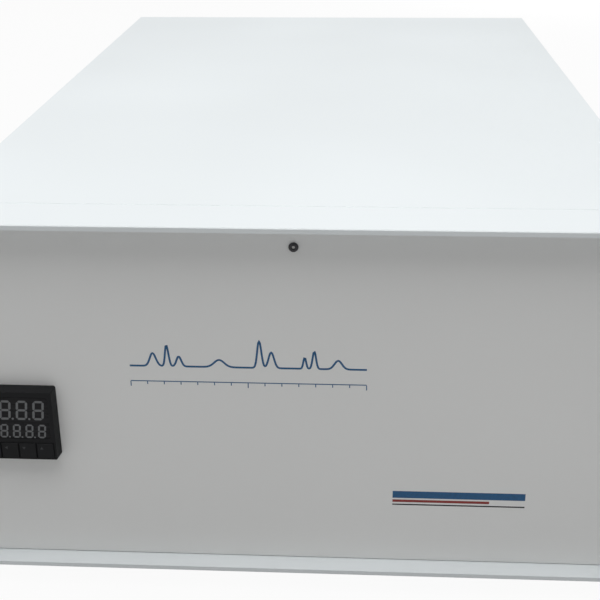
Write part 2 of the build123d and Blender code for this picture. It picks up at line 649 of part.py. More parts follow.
def make_lid_catches():
    """Two magnetic catches below the front rest, their pole faces just under the lid."""
    catches = []
    for sx in (-1, 1):
        x = sx * CATCH_OFFSET
        half = CATCH_LENGTH / 2
        top = REST_TOP - SKIN
        body = block(x - half, x + half, BEZEL_DEPTH, BEZEL_DEPTH + CATCH_DEPTH, top - CATCH_HEIGHT, top)
        pole = half - 3 - SLIDE_GAP
        for y in (BEZEL_DEPTH + 2 + SLIDE_GAP, BEZEL_DEPTH + CATCH_DEPTH - 2 - SLIDE_GAP - 2):
            body += block(x - pole, x + pole, y, y + 2, top, LID_UNDER - SLIDE_GAP)
        catches.append(body)
    keep("lid_catches", *catches)


# Temperature controller
def make_controller():
    """Square panel controller: moulded case, tapered bezel, window, display, keys, clamp and terminals."""
    x = CONTROLLER_X
    z = CONTROLLER_Z
    back = PANEL_FRONT
    front = PANEL_FRONT - CONTROLLER_PROUD
    face = Plane(origin=(x, back, z), x_dir=(1, 0, 0), z_dir=(0, -1, 0))
    angle = math.degrees(math.atan(CONTROLLER_TAPER / CONTROLLER_PROUD))
    bezel = extrude(face * RectangleRounded(CONTROLLER_SIZE, CONTROLLER_SIZE, CONTROLLER_CORNER),
                    CONTROLLER_PROUD, taper=angle)
    inner = CASE_SIZE / 2 - CASE_WALL
    bezel -= block(x - inner, x + inner, front + BEZEL_FACE, back + 1, z - inner, z + inner)
    window_z = z + WINDOW_RISE
    bezel -= rounded_prism_y(x, window_z, WINDOW_WIDTH - 2, WINDOW_HEIGHT - 2, 1.5, front - 1, back)
    bezel -= block(x - WINDOW_WIDTH / 2 - SLIDE_GAP, x + WINDOW_WIDTH / 2 + SLIDE_GAP,
                   front + 0.6, front + BEZEL_FACE + 1,
                   window_z - WINDOW_HEIGHT / 2 - SLIDE_GAP, window_z + WINDOW_HEIGHT / 2 + SLIDE_GAP)
    key_z = z - KEY_DROP
    key_xs = [x + (index - (KEY_COUNT - 1) / 2) * KEY_PITCH for index in range(KEY_COUNT)]
    for key_x in key_xs:
        bezel -= block(key_x - KEY_WIDTH / 2 - SLIDE_GAP, key_x + KEY_WIDTH / 2 + SLIDE_GAP, front - 1, back,
                       key_z - KEY_HEIGHT / 2 - SLIDE_GAP, key_z + KEY_HEIGHT / 2 + SLIDE_GAP)
    keep("controller_bezel", bezel)

    half = CASE_SIZE / 2
    case = rounded_prism_y(x, z, CASE_SIZE, CASE_SIZE, 2.0, back, back + CASE_DEPTH)
    case -= block(x - inner, x + inner, back - 1, back + CASE_DEPTH - CASE_WALL, z - inner, z + inner)
    for index in range(5):
        slot_y = back + CASE_DEPTH - 10 - index * 5
        case -= block(x - half * 0.6, x + half * 0.6, slot_y, slot_y + 2, z + inner - 1, z + half + 1)
    keep("controller_case", case)

    window = block(x - WINDOW_WIDTH / 2, x + WINDOW_WIDTH / 2, front + 0.6, front + 0.6 + WINDOW_THICKNESS,
                   window_z - WINDOW_HEIGHT / 2, window_z + WINDOW_HEIGHT / 2)
    keep("controller_window", window)

    display_y = front + 0.6 + WINDOW_THICKNESS
    display_half = inner - SLIDE_GAP
    board_y = display_y + DISPLAY_THICKNESS + KEY_TRAVEL + 4
    display = block(x - display_half + 2, x + display_half - 2, display_y, board_y,
                    window_z - WINDOW_HEIGHT / 2 + 2, window_z + WINDOW_HEIGHT / 2 - 3)
    display += block(x - display_half, x + display_half, board_y, board_y + DISPLAY_THICKNESS,
                     z - display_half, z + display_half)
    keep("controller_display", display)

    key_back = board_y - KEY_TRAVEL - 0.2
    for name, key_x in zip(("key_mode", "key_shift", "key_down", "key_up"), key_xs):
        cap = block(key_x - KEY_WIDTH / 2, key_x + KEY_WIDTH / 2, front - KEY_PROUD, front + BEZEL_FACE,
                    key_z - KEY_HEIGHT / 2, key_z + KEY_HEIGHT / 2)
        cap = fillet(cap.faces().sort_by(Axis.Y)[0].edges(), KEY_PROUD * 0.6)
        stem = rod_y(key_x, front + BEZEL_FACE, key_back, key_z, KEY_STEM / 2)
        keep(name, cap + stem)

    clamp_outer = half + 2.6
    clamp_inner = half + SLIDE_GAP
    clamp = block(x - clamp_outer, x + clamp_outer, PANEL_BACK, PANEL_BACK + CLAMP_DEPTH,
                  z - clamp_outer, z + clamp_outer)
    clamp -= block(x - clamp_inner, x + clamp_inner, PANEL_BACK - 1, PANEL_BACK + CLAMP_DEPTH + 1,
                   z - clamp_inner, z + clamp_inner)
    for sz in (-1, 1):
        arm_z = z + sz * (half + 1.5)
        clamp += block(x - CLAMP_ARM_WIDTH / 2, x + CLAMP_ARM_WIDTH / 2,
                       PANEL_BACK, PANEL_BACK + CLAMP_ARM_REACH,
                       arm_z - CLAMP_ARM_THICKNESS / 2, arm_z + CLAMP_ARM_THICKNESS / 2)
    keep("controller_clamp", clamp)

    rear = back + CASE_DEPTH
    strips = []
    for sx in (-1, 1):
        strip_x = x + sx * half * 0.5
        tall = TERMINAL_COUNT * TERMINAL_PITCH
        strip = block(strip_x - 4.5, strip_x + 4.5, rear, rear + TERMINAL_DEPTH, z - tall / 2, z + tall / 2)
        for index in range(TERMINAL_COUNT):
            screw_z = z + (index - (TERMINAL_COUNT - 1) / 2) * TERMINAL_PITCH
            strip -= rod_y(strip_x, rear + TERMINAL_DEPTH - 3, rear + TERMINAL_DEPTH + 1, screw_z, 2.2)
            strip += rod_y(strip_x, rear + TERMINAL_DEPTH - 4, rear + TERMINAL_DEPTH - 1.5, screw_z, 1.8)
        strips.append(strip)
    keep("controller_terminals", *strips)


# Mains inlet, switch, fuse drawer, data socket and earth stud
def make_mains():
    """Inlet module: flange with socket recess and pins, a rocker above and a fuse drawer below."""
    x = INLET_X
    z = BASE_Z + INLET_HEIGHT
    outer = BODY_DEPTH + INLET_FLANGE_THICKNESS
    flange = rounded_prism_y(x, z, INLET_FLANGE_WIDTH, INLET_FLANGE_TALL, 4.0, BODY_DEPTH, outer)
    half_width = INLET_WIDTH / 2
    body_bottom = z - INLET_FLANGE_TALL / 2 + 6
    body_top = z + INLET_FLANGE_TALL / 2 - 6
    flange += block(x - half_width, x + half_width, BODY_DEPTH - INLET_DEPTH, BODY_DEPTH,
                    body_bottom, body_top)
    face = Plane(origin=(x, outer, z), x_dir=(-1, 0, 0), z_dir=(0, 1, 0))
    wide = INLET_CAVITY_WIDTH / 2
    tall = INLET_CAVITY_TALL / 2
    outline = Polyline((-wide, -tall), (wide, -tall), (wide, tall - INLET_CORNER),
                       (wide - INLET_CORNER, tall),
                       (INLET_CORNER - wide, tall), (-wide, tall - INLET_CORNER), close=True)
    flange -= extrude(face * make_face(outline), -INLET_CAVITY_DEPTH)
    switch_z = z + SWITCH_RISE
    switch_half = SWITCH_WIDTH / 2 - 1 + SLIDE_GAP
    flange -= block(x - switch_half, x + switch_half, outer - 14, outer + 1,
                    switch_z - SWITCH_TALL / 2 - SLIDE_GAP, switch_z + SWITCH_TALL / 2 + SLIDE_GAP)
    flange -= rod_z(x, outer - SWITCH_PIVOT_DEPTH, switch_z - SWITCH_TALL / 2 - 1.8,
                    switch_z + SWITCH_TALL / 2 + 1.8, SWITCH_PIN + RUNNING_GAP)
    fuse_z = z - FUSE_DROP
    flange -= block(x - FUSE_WIDTH / 2 - SLIDE_GAP, x + FUSE_WIDTH / 2 + SLIDE_GAP, outer - FUSE_DEPTH - 1,
                    outer + 1, fuse_z - FUSE_TALL / 2 - SLIDE_GAP, fuse_z + FUSE_TALL / 2 + SLIDE_GAP)
    pin_back = outer - INLET_CAVITY_DEPTH
    for dx, dz in ((-INLET_PIN_PITCH / 2, -2.0), (0, 2.0), (INLET_PIN_PITCH / 2, -2.0)):
        flange += block(x + dx - INLET_PIN_WIDTH / 2, x + dx + INLET_PIN_WIDTH / 2,
                        pin_back - 1, outer - INLET_PIN_SET,
                        z + dz - INLET_PIN_TALL / 2, z + dz + INLET_PIN_TALL / 2)
    keep("mains_inlet", flange)

    half = SWITCH_WIDTH / 2 - 1
    pivot_y = outer - SWITCH_PIVOT_DEPTH
    rise = half * math.tan(math.radians(SWITCH_TILT))
    crest = Polyline((x - half, outer + 1 + rise), (x, outer + 1), (x + half, outer + 1),
                     (x + half, pivot_y - 5), (x - half, pivot_y - 5), close=True)
    profile = (Pos(x, pivot_y) * Circle(half)) & make_face(crest)
    rocker = extrude(Pos(0, 0, switch_z - SWITCH_TALL / 2) * profile, SWITCH_TALL)
    rocker += rod_z(x, pivot_y, switch_z - SWITCH_TALL / 2 - SWITCH_PIN_LENGTH,
                    switch_z + SWITCH_TALL / 2 + SWITCH_PIN_LENGTH, SWITCH_PIN)
    keep("power_switch", rocker)

    drawer = block(x - FUSE_WIDTH / 2, x + FUSE_WIDTH / 2, outer - FUSE_DEPTH, outer + 0.8,
                   fuse_z - FUSE_TALL / 2, fuse_z + FUSE_TALL / 2)
    drawer -= block(x - FUSE_WIDTH / 2 + 1.5, x + FUSE_WIDTH / 2 - 1.5, outer - FUSE_DEPTH + 1.5, outer - 3,
                    fuse_z - FUSE_TALL / 2 + 1.2, fuse_z + FUSE_TALL / 2 + 1)
    drawer -= block(x - 4, x + 4, outer - 0.6, outer + 2,
                    fuse_z - FUSE_TALL / 2 - 1, fuse_z - FUSE_TALL / 2 + 1.5)
    keep("fuse_drawer", drawer)


def make_data_socket():
    """Shielded data socket with its square recess."""
    z = BASE_Z + DATA_HEIGHT
    outer = BODY_DEPTH + 1.2
    body = block(DATA_X - DATA_WIDTH / 2, DATA_X + DATA_WIDTH / 2, outer - DATA_DEPTH, outer,
                 z - DATA_TALL / 2, z + DATA_TALL / 2)
    body -= block(DATA_X - DATA_CAVITY_WIDTH / 2, DATA_X + DATA_CAVITY_WIDTH / 2, outer - DATA_CAVITY_DEPTH,
                  outer + 1, z - DATA_CAVITY_TALL / 2, z + DATA_CAVITY_TALL / 2)
    flange = block(DATA_X - DATA_WIDTH / 2 - 2, DATA_X + DATA_WIDTH / 2 + 2, REAR_INNER - 1.5, REAR_INNER,
                   z - DATA_TALL / 2 - 2, z + DATA_TALL / 2 + 2)
    flange -= block(DATA_X - DATA_WIDTH / 2 + 1, DATA_X + DATA_WIDTH / 2 - 1, REAR_INNER - 2, REAR_INNER + 1,
                    z - DATA_TALL / 2 + 1, z + DATA_TALL / 2 - 1)
    keep("data_socket", body + flange)


def make_earth_stud():
    """Threaded earth stud with a hexagon nut on each side of the rear sheet."""
    z = BASE_Z + DATA_HEIGHT
    stud = rod_y(EARTH_X, REAR_INNER - 8, BODY_DEPTH + EARTH_REACH, z, EARTH_RADIUS)
    stud += hex_y(EARTH_X, BODY_DEPTH, BODY_DEPTH + 4.5, z, 10.0)
    stud += hex_y(EARTH_X, REAR_INNER - 4.5, REAR_INNER, z, 10.0)
    keep("earth_stud", stud)


# Fan
def make_fan():
    """Square fan frame with a spider, a seven-blade rotor on its shaft, and a flat ring guard."""
    z = BASE_Z + FAN_HEIGHT
    half = FAN_SIZE / 2
    front = REAR_INNER - FAN_DEPTH
    frame = block(FAN_X - half, FAN_X + half, front, REAR_INNER, z - half, z + half)
    frame -= rod_y(FAN_X, front - 1, REAR_INNER + 1, z, FAN_BORE)
    for angle in (0, 60, 120):
        frame += Pos(FAN_X, front + 1.5, z) * Rot(0, angle, 0) * Box(2 * FAN_BORE + 2, 3, 4)
    frame += rod_y(FAN_X, front, front + 3, z, FAN_HUB)
    frame += rod_y(FAN_X, front, front + 9, z, FAN_SHAFT + 3)
    frame -= rod_y(FAN_X, front - 1, front + 10, z, FAN_SHAFT + RUNNING_GAP)
    for dx in (-1, 1):
        for dz in (-1, 1):
            frame -= rod_y(FAN_X + dx * FAN_SCREW_PITCH / 2, front - 1, REAR_INNER + 1,
                           z + dz * FAN_SCREW_PITCH / 2, CASE_SCREW_RADIUS + THREAD_GAP)
    keep("fan_frame", frame)

    hub_front = front + 4
    hub_back = REAR_INNER - 2
    rotor = rod_y(FAN_X, hub_front, hub_back, z, FAN_HUB)
    rotor -= rod_y(FAN_X, hub_front - 1, hub_back - 2, z, FAN_HUB - 2)
    rotor += rod_y(FAN_X, front + 0.5, hub_back, z, FAN_SHAFT)
    blade_length = FAN_BORE - FAN_TIP_GAP - FAN_HUB + 1
    blade_middle = FAN_HUB - 1 + blade_length / 2
    for index in range(FAN_BLADES):
        blade = Pos(blade_middle, 0, 0) * Rot(FAN_BLADE_TILT, 0, 0) * Box(blade_length, 1.6, 20)
        turned = Pos(FAN_X, (hub_front + hub_back) / 2, z) * Rot(0, index * 360 / FAN_BLADES, 0) * blade
        rotor += turned
    rotor &= rod_y(FAN_X, front, REAR_INNER, z, FAN_BORE - FAN_TIP_GAP)
    keep("fan_rotor", rotor)

    guard = None
    for index in range(GUARD_RINGS):
        radius = FAN_BORE * (index + 1) / GUARD_RINGS - 2
        ring = rod_y(FAN_X, BODY_DEPTH, BODY_DEPTH + 2 * GUARD_WIRE, z, radius + GUARD_WIRE)
        ring -= rod_y(FAN_X, BODY_DEPTH - 1, BODY_DEPTH + 2 * GUARD_WIRE + 1, z, radius - GUARD_WIRE)
        guard = ring if guard is None else guard + ring
    reach = math.hypot(FAN_SCREW_PITCH, FAN_SCREW_PITCH) + 6
    for angle in (45, 135):
        guard += Pos(FAN_X, BODY_DEPTH + GUARD_WIRE, z) * Rot(0, angle, 0) * Box(reach, 2 * GUARD_WIRE, 5)
    for dx in (-1, 1):
        for dz in (-1, 1):
            guard -= rod_y(FAN_X + dx * FAN_SCREW_PITCH / 2, BODY_DEPTH - 1, BODY_DEPTH + 9,
                           z + dz * FAN_SCREW_PITCH / 2, CASE_SCREW_RADIUS + THREAD_GAP)
    keep("fan_guard", guard)


# Gas ports and lines
def make_gas_ports():
    """Bulkhead compression fittings for 6 mm tube, each with a lock nut inside the rear sheet."""
    z = BASE_Z + PORT_HEIGHT
    outer = BODY_DEPTH + REAR_REACH
    inner = REAR_INNER - PORT_INSIDE
    ports = []
    nuts = []
    for x in PORT_XS:
        port = rod_y(x, inner, outer - 2, z, PORT_BODY_RADIUS)
        port += hex_y(x, BODY_DEPTH, BODY_DEPTH + LOCK_NUT_THICKNESS, z, LOCK_NUT_ACROSS)
        port += hex_y(x, outer - PORT_NUT_LENGTH, outer, z, PORT_NUT_ACROSS)
        port -= rod_y(x, outer - PORT_BORE_LENGTH, outer + 1, z, PORT_BORE)
        port -= rod_y(x, inner - 1, inner + PORT_BORE_LENGTH / 2, z, PORT_BORE)
        ports.append(port)
        nut = hex_y(x, REAR_INNER - LOCK_NUT_THICKNESS, REAR_INNER, z, LOCK_NUT_ACROSS)
        nuts.append(nut - rod_y(x, REAR_INNER - 9, REAR_INNER + 1, z, PORT_BODY_RADIUS + THREAD_GAP))
    keep("gas_ports", *ports, *nuts)


def make_gas_lines():
    """Two bent 6 mm tubes from the cell's nipples to the rear ports, and a purge diffuser."""
    radius = PORT_TUBE / 2
    port_z = BASE_Z + PORT_HEIGHT
    port_y = REAR_INNER - PORT_INSIDE + PORT_BORE_LENGTH / 2
    nipple_z = BEAM_HEIGHT + CELL_FLANGE_RADIUS + 8
    lines = []
    ends = (CELL_FRONT + CELL_FLANGE_THICKNESS / 2, CELL_FRONT + CELL_LENGTH - CELL_FLANGE_THICKNESS / 2)
    for index, nipple_y in enumerate(ends):
        crest = port_z + 42 - 20 * index
        x = PORT_XS[index]
        points = ((CELL_X, nipple_y, nipple_z), (CELL_X, nipple_y, crest), (x, nipple_y, crest),
                  (x, REAR_INNER - 120, crest), (x, REAR_INNER - 80, port_z), (x, port_y, port_z))
        lines.append(tube_along(points, LINE_BEND, radius))
    x = PORT_XS[2]
    diffuser = rod_y(x, port_y - DIFFUSER_START, port_y - DIFFUSER_END, port_z, PORT_BODY_RADIUS)
    lines.append(diffuser + rod_y(x, port_y - DIFFUSER_END - 1, port_y, port_z, radius))
    keep("gas_lines", *lines)


# Optical bench
def make_optical_plate():
    """Thick bench plate with rounded corners on four rubber isolators."""
    middle = PLATE_FRONT + PLATE_LENGTH / 2
    outline = Pos(PLATE_X, middle, PLATE_TOP - PLATE_THICKNESS) * RectangleRounded(
        PLATE_WIDTH, PLATE_LENGTH, PLATE_CORNER)
    plate = extrude(outline, PLATE_THICKNESS)
    keep("optical_plate", plate)
    bottom = PLATE_TOP - PLATE_THICKNESS
    isolators = []
    for sx in (-1, 1):
        for sy in (-1, 1):
            x = PLATE_X + sx * (PLATE_WIDTH / 2 - ISOLATOR_INSET)
            y = middle + sy * (PLATE_LENGTH / 2 - ISOLATOR_INSET)
            isolator = rod_z(x, y, FLOOR_Z, bottom, ISOLATOR_RADIUS * 0.75)
            isolator += rod_z(x, y, FLOOR_Z, FLOOR_Z + 7, ISOLATOR_RADIUS)
            isolator += rod_z(x, y, bottom - 7, bottom, ISOLATOR_RADIUS)
            isolators.append(isolator)
    keep("plate_isolators", *isolators)


def disc(x, y, radius, thickness, heading):
    """A round optic at beam height whose face looks along the heading in degrees."""
    return Pos(x, y, BEAM_HEIGHT) * Rot(0, 0, heading) * Rot(0, 90, 0) * Cylinder(radius, thickness)


def pedestal(x, y, width, depth, base, top, heading=0.0):
    """A block standing below an optic."""
    return Pos(x, y, (base + top) / 2) * Rot(0, 0, heading) * Box(width, depth, top - base)


def make_interferometer():
    """Base, beamsplitter in its ring, and the swing arm with two hollow corner cubes."""
    base_top = PLATE_TOP + BASE_STEP
    base = block(SPLITTER_X - BASE_LEFT, SPLITTER_X + BASE_RIGHT,
                 SPLITTER_Y - BASE_FRONT, SPLITTER_Y + BASE_REAR, PLATE_TOP, base_top)
    base = fillet(base.edges().filter_by(Axis.Z), PLATE_CORNER)
    keep("interferometer_base", base)

    mount = disc(SPLITTER_X, SPLITTER_Y, MOUNT_RADIUS, MOUNT_THICKNESS, 135)
    mount -= disc(SPLITTER_X, SPLITTER_Y, SPLITTER_RADIUS - 3, MOUNT_THICKNESS + 2, 135)
    mount -= disc(SPLITTER_X, SPLITTER_Y, SPLITTER_RADIUS + THREAD_GAP, SPLITTER_THICKNESS, 135)
    foot = pedestal(SPLITTER_X, SPLITTER_Y, MOUNT_THICKNESS, MOUNT_RADIUS * 1.4, base_top,
                    BEAM_HEIGHT - SPLITTER_RADIUS - 2, 135)
    keep("beamsplitter_mount", mount + foot)
    keep("beamsplitter", disc(SPLITTER_X, SPLITTER_Y, SPLITTER_RADIUS, SPLITTER_THICKNESS, 135))

    pivot_x = SPLITTER_X + PIVOT_OFFSET
    pivot_y = SPLITTER_Y + PIVOT_OFFSET
    arm_low = ARM_Z - ARM_THICKNESS / 2
    arm_high = ARM_Z + ARM_THICKNESS / 2
    pivot = rod_z(pivot_x, pivot_y, base_top, arm_high + 8, PIVOT_RADIUS)
    pivot += rod_z(pivot_x, pivot_y, base_top, arm_low - SLIDE_GAP, PIVOT_BOSS)
    pivot += rod_z(pivot_x, pivot_y, arm_high + SLIDE_GAP, arm_high + 6, PIVOT_RADIUS + 3)
    keep("arm_pivot", pivot)

    cube_spots = ((SPLITTER_X, SPLITTER_Y + ARM_REACH, -90), (SPLITTER_X + ARM_REACH, SPLITTER_Y, 180))
    coil_x = pivot_x + COIL_REACH * math.cos(math.radians(45))
    coil_y = pivot_y + COIL_REACH * math.sin(math.radians(45))
    arm = rod_z(pivot_x, pivot_y, arm_low, arm_high, PIVOT_BOSS)
    for end_x, end_y, width in ((*cube_spots[0][:2], ARM_WIDTH), (*cube_spots[1][:2], ARM_WIDTH),
                                (coil_x, coil_y, ARM_WIDTH * 0.6)):
        length = math.hypot(end_x - pivot_x, end_y - pivot_y)
        heading = math.degrees(math.atan2(end_y - pivot_y, end_x - pivot_x))
        arm += Pos(pivot_x, pivot_y, ARM_Z) * Rot(0, 0, heading) * Pos(length / 2, 0, 0) * Box(
            length, width, ARM_THICKNESS)
        arm += rod_z(end_x, end_y, arm_low, arm_high, width / 2)
    arm -= rod_z(pivot_x, pivot_y, arm_low - 1, arm_high + 1, PIVOT_RADIUS + RUNNING_GAP)
    keep("swing_arm", arm)

    cutter = CUBE_RADIUS * 2.4
    cubes = []
    for x, y, heading in cube_spots:
        facing = Pos(x, y, BEAM_HEIGHT) * Rot(0, 0, heading) * Rot(0, 90, 0)
        shell = facing * Cylinder(CUBE_RADIUS, CUBE_LENGTH)
        corner = Rot(0, -math.degrees(math.atan(math.sqrt(2))), 0) * Rot(0, 0, -45) * Box(
            cutter, cutter, cutter, align=(Align.MIN, Align.MIN, Align.MIN))
        apex = Pos(x, y, BEAM_HEIGHT) * Rot(0, 0, heading) * Rot(0, 90, 0) * Pos(
            0, 0, CUBE_LENGTH / 2 - CUBE_HOLLOW)
        cubes.append(shell - apex * corner
                     + rod_z(x, y, arm_high, BEAM_HEIGHT - CUBE_RADIUS + 2, CUBE_POST))
    keep("corner_cubes", *cubes)

    bobbin = Pos(coil_x, coil_y, COIL_Z) * Rot(0, 0, -45)
    coil = bobbin * Rot(0, 90, 0) * Cylinder(COIL_RADIUS, COIL_LENGTH)
    coil -= bobbin * Rot(0, 90, 0) * Cylinder(COIL_BORE, COIL_LENGTH + 2)
    coil += bobbin * Pos(-COIL_LENGTH / 2 - 1.5, 0, 0) * Rot(0, 90, 0) * Cylinder(COIL_RADIUS, 3)
    coil += bobbin * Pos(-COIL_LENGTH / 2 - 1.5, 0, -(COIL_Z - arm_high) / 2) * Box(
        3, COIL_RADIUS, COIL_Z - arm_high)
    coil += bobbin * Pos(-COIL_LENGTH / 2 + 1, 0, arm_high - COIL_Z + 1.5) * Box(8, COIL_RADIUS, 3)
    keep("voice_coil", coil)
    yoke = bobbin * Pos(YOKE_OFFSET, 0, 0) * Rot(0, 90, 0) * Cylinder(YOKE_RADIUS, YOKE_LENGTH)
    yoke -= bobbin * Pos(YOKE_OFFSET - YOKE_WALL, 0, 0) * Rot(0, 90, 0) * Cylinder(
        YOKE_RADIUS - YOKE_WALL, YOKE_LENGTH)
    yoke += bobbin * Pos(YOKE_OFFSET, 0, 0) * Rot(0, 90, 0) * Cylinder(YOKE_CORE, YOKE_LENGTH)
    foot_tall = COIL_Z - base_top - YOKE_RADIUS + 3
    yoke_foot = bobbin * Pos(YOKE_OFFSET + YOKE_LENGTH / 4, 0, foot_tall / 2 - (COIL_Z - base_top))
    yoke += yoke_foot * Box(YOKE_LENGTH / 2 - 1, YOKE_RADIUS * 1.2, foot_tall)
    keep("magnet_yoke", yoke)


def mirror_on_post(x, y, radius, thickness, heading, base):
    """A round mirror with a post and a square foot."""
    mirror = disc(x, y, radius, thickness, heading)
    mirror += rod_z(x, y, base, BEAM_HEIGHT - radius + 2, min(radius, 14.0) / 2)
    foot = radius * 0.7
    return mirror + block(x - foot, x + foot, y - foot, y + foot, base, base + 6)


def make_optics():
    """Source, collimator, transfer mirrors, reference laser and detector."""
    half = SOURCE_SIZE / 2
    low = BEAM_HEIGHT - half
    housing = block(SOURCE_X - half, SOURCE_X + half, SOURCE_Y - half, SOURCE_Y + half,
                    low, BEAM_HEIGHT + half)
    housing -= rod_y(SOURCE_X, SOURCE_Y - half + 10, SOURCE_Y + half + 1, BEAM_HEIGHT, SOURCE_BORE)
    for index in range(SOURCE_FINS):
        fin_y = SOURCE_Y - half + (index + 0.5) * SOURCE_SIZE / SOURCE_FINS
        housing += block(SOURCE_X - half - SOURCE_FIN_REACH, SOURCE_X - half, fin_y - 1.5, fin_y + 1.5,
                         low, BEAM_HEIGHT + half)
    housing += pedestal(SOURCE_X, SOURCE_Y, SOURCE_SIZE * 0.7, SOURCE_SIZE * 0.7, PLATE_TOP, low)
    keep("source_housing", housing)
    emitter = rod_z(SOURCE_X, SOURCE_Y, BEAM_HEIGHT - SOURCE_BORE, BEAM_HEIGHT + SOURCE_BORE, 3.0)
    keep("ir_source", emitter & rod_y(SOURCE_X, SOURCE_Y - half, SOURCE_Y + half, BEAM_HEIGHT, SOURCE_BORE))

    keep("collimator_mirror",
         mirror_on_post(SOURCE_X, SPLITTER_Y, MIRROR_RADIUS, MIRROR_THICKNESS, -45, PLATE_TOP))
    beam_in = CELL_X - BEAM_SPLIT
    keep("bench_mirrors",
         rod_y(CELL_X, CELL_FRONT, CELL_FRONT + CELL_MIRROR_THICKNESS, BEAM_HEIGHT, CELL_BORE - SLIDE_GAP),
         mirror_on_post(SPLITTER_X, FOLD_Y, FOLD_RADIUS, MIRROR_THICKNESS, 45, PLATE_TOP),
         mirror_on_post(beam_in, FOLD_Y, CELL_FOLD_RADIUS, MIRROR_THICKNESS / 2, 225, PLATE_TOP))

    laser_z = PLATE_TOP + LASER_RADIUS + 6
    laser_y = SOURCE_Y - half - 30
    laser = rod_y(SOURCE_X, laser_y - LASER_LENGTH, laser_y, laser_z, LASER_RADIUS)
    for share in (0.2, 0.8):
        saddle_y = laser_y - LASER_LENGTH * share
        laser += block(SOURCE_X - LASER_RADIUS - 4, SOURCE_X + LASER_RADIUS + 4, saddle_y - 6, saddle_y + 6,
                       PLATE_TOP, laser_z)
    keep("reference_laser", laser)

    detector_x = CELL_X + BEAM_SPLIT
    size = DETECTOR_SIZE / 2
    body = block(detector_x - size, detector_x + size, DETECTOR_Y - size, DETECTOR_Y + size,
                 PLATE_TOP + BASE_STEP + 1, BEAM_HEIGHT + size)
    body = fillet(body.edges().filter_by(Axis.Z), 4.0)
    body += block(detector_x - size * 0.8, detector_x + size * 0.8,
                  DETECTOR_Y - size, DETECTOR_Y + size * 0.8,
                  PLATE_TOP, PLATE_TOP + BASE_STEP + 1)
    body += rod_y(detector_x, DETECTOR_Y - size - 18, DETECTOR_Y - size, BEAM_HEIGHT, SNOUT_RADIUS)
    body -= rod_y(detector_x, DETECTOR_Y - size - 19, DETECTOR_Y - size - 4, BEAM_HEIGHT, SNOUT_RADIUS - 2)
    keep("detector_module", body)


# Heated gas cell
def make_gas_cell():
    """Flanged tube on two feet, with end caps, windows, inner mirrors and a heating jacket."""
    rear = CELL_FRONT + CELL_LENGTH
    body = rod_y(CELL_X, CELL_FRONT, rear, BEAM_HEIGHT, CELL_RADIUS)
    for y in (CELL_FRONT, rear - CELL_FLANGE_THICKNESS):
        body += rod_y(CELL_X, y, y + CELL_FLANGE_THICKNESS, BEAM_HEIGHT, CELL_FLANGE_RADIUS)
        middle = y + CELL_FLANGE_THICKNESS / 2
        body += rod_z(CELL_X, middle, BEAM_HEIGHT + CELL_FLANGE_RADIUS - 3,
                      BEAM_HEIGHT + CELL_FLANGE_RADIUS + 14,
                      PORT_BODY_RADIUS)
        body -= rod_z(CELL_X, middle, BEAM_HEIGHT + CELL_FLANGE_RADIUS + 7.9,
                      BEAM_HEIGHT + CELL_FLANGE_RADIUS + 15, PORT_BORE)
        body += block(CELL_X - CELL_RADIUS, CELL_X + CELL_RADIUS, y, y + CELL_FLANGE_THICKNESS,
                      PLATE_TOP, BEAM_HEIGHT - CELL_RADIUS)
    body -= rod_y(CELL_X, CELL_FRONT - 1, rear + 1, BEAM_HEIGHT, CELL_BORE)
    keep("gas_cell_body", body)

    caps = []
    for y, hole in ((CELL_FRONT - CAP_THICKNESS, 0), (rear, WINDOW_RADIUS)):
        cap = rod_y(CELL_X, y, y + CAP_THICKNESS, BEAM_HEIGHT, CELL_FLANGE_RADIUS)
        if hole:
            cap -= rod_y(CELL_X, y - 1, y + CAP_THICKNESS + 1, BEAM_HEIGHT, hole + THREAD_GAP)
        caps.append(cap)
    keep("cell_end_caps", *caps)
    keep("cell_window", rod_y(CELL_X, rear + 1, rear + 1 + WINDOW_PLATE, BEAM_HEIGHT, WINDOW_RADIUS))

    ring = (CELL_BORE + CELL_FLANGE_RADIUS) / 2
    bolts = []
    for index in range(CELL_BOLTS):
        angle = math.radians(index * 360 / CELL_BOLTS + 30)
        x = CELL_X + ring * math.cos(angle)
        z = BEAM_HEIGHT + ring * math.sin(angle)
        bolts.append(hex_y(x, CELL_FRONT - CAP_THICKNESS - 4, CELL_FRONT - CAP_THICKNESS, z, 7.0))
        bolts.append(hex_y(x, rear + CAP_THICKNESS, rear + CAP_THICKNESS + 4, z, 7.0))
    keep("cell_bolts", *bolts)

    jacket_from = CELL_FRONT + CELL_FLANGE_THICKNESS + JACKET_GAP
    jacket_to = rear - CELL_FLANGE_THICKNESS - JACKET_GAP
    jacket = rod_y(CELL_X, jacket_from, jacket_to, BEAM_HEIGHT, CELL_RADIUS + JACKET_THICKNESS)
    jacket -= rod_y(CELL_X, jacket_from - 1, jacket_to + 1, BEAM_HEIGHT, CELL_RADIUS + THREAD_GAP)
    keep("heating_jacket", jacket)


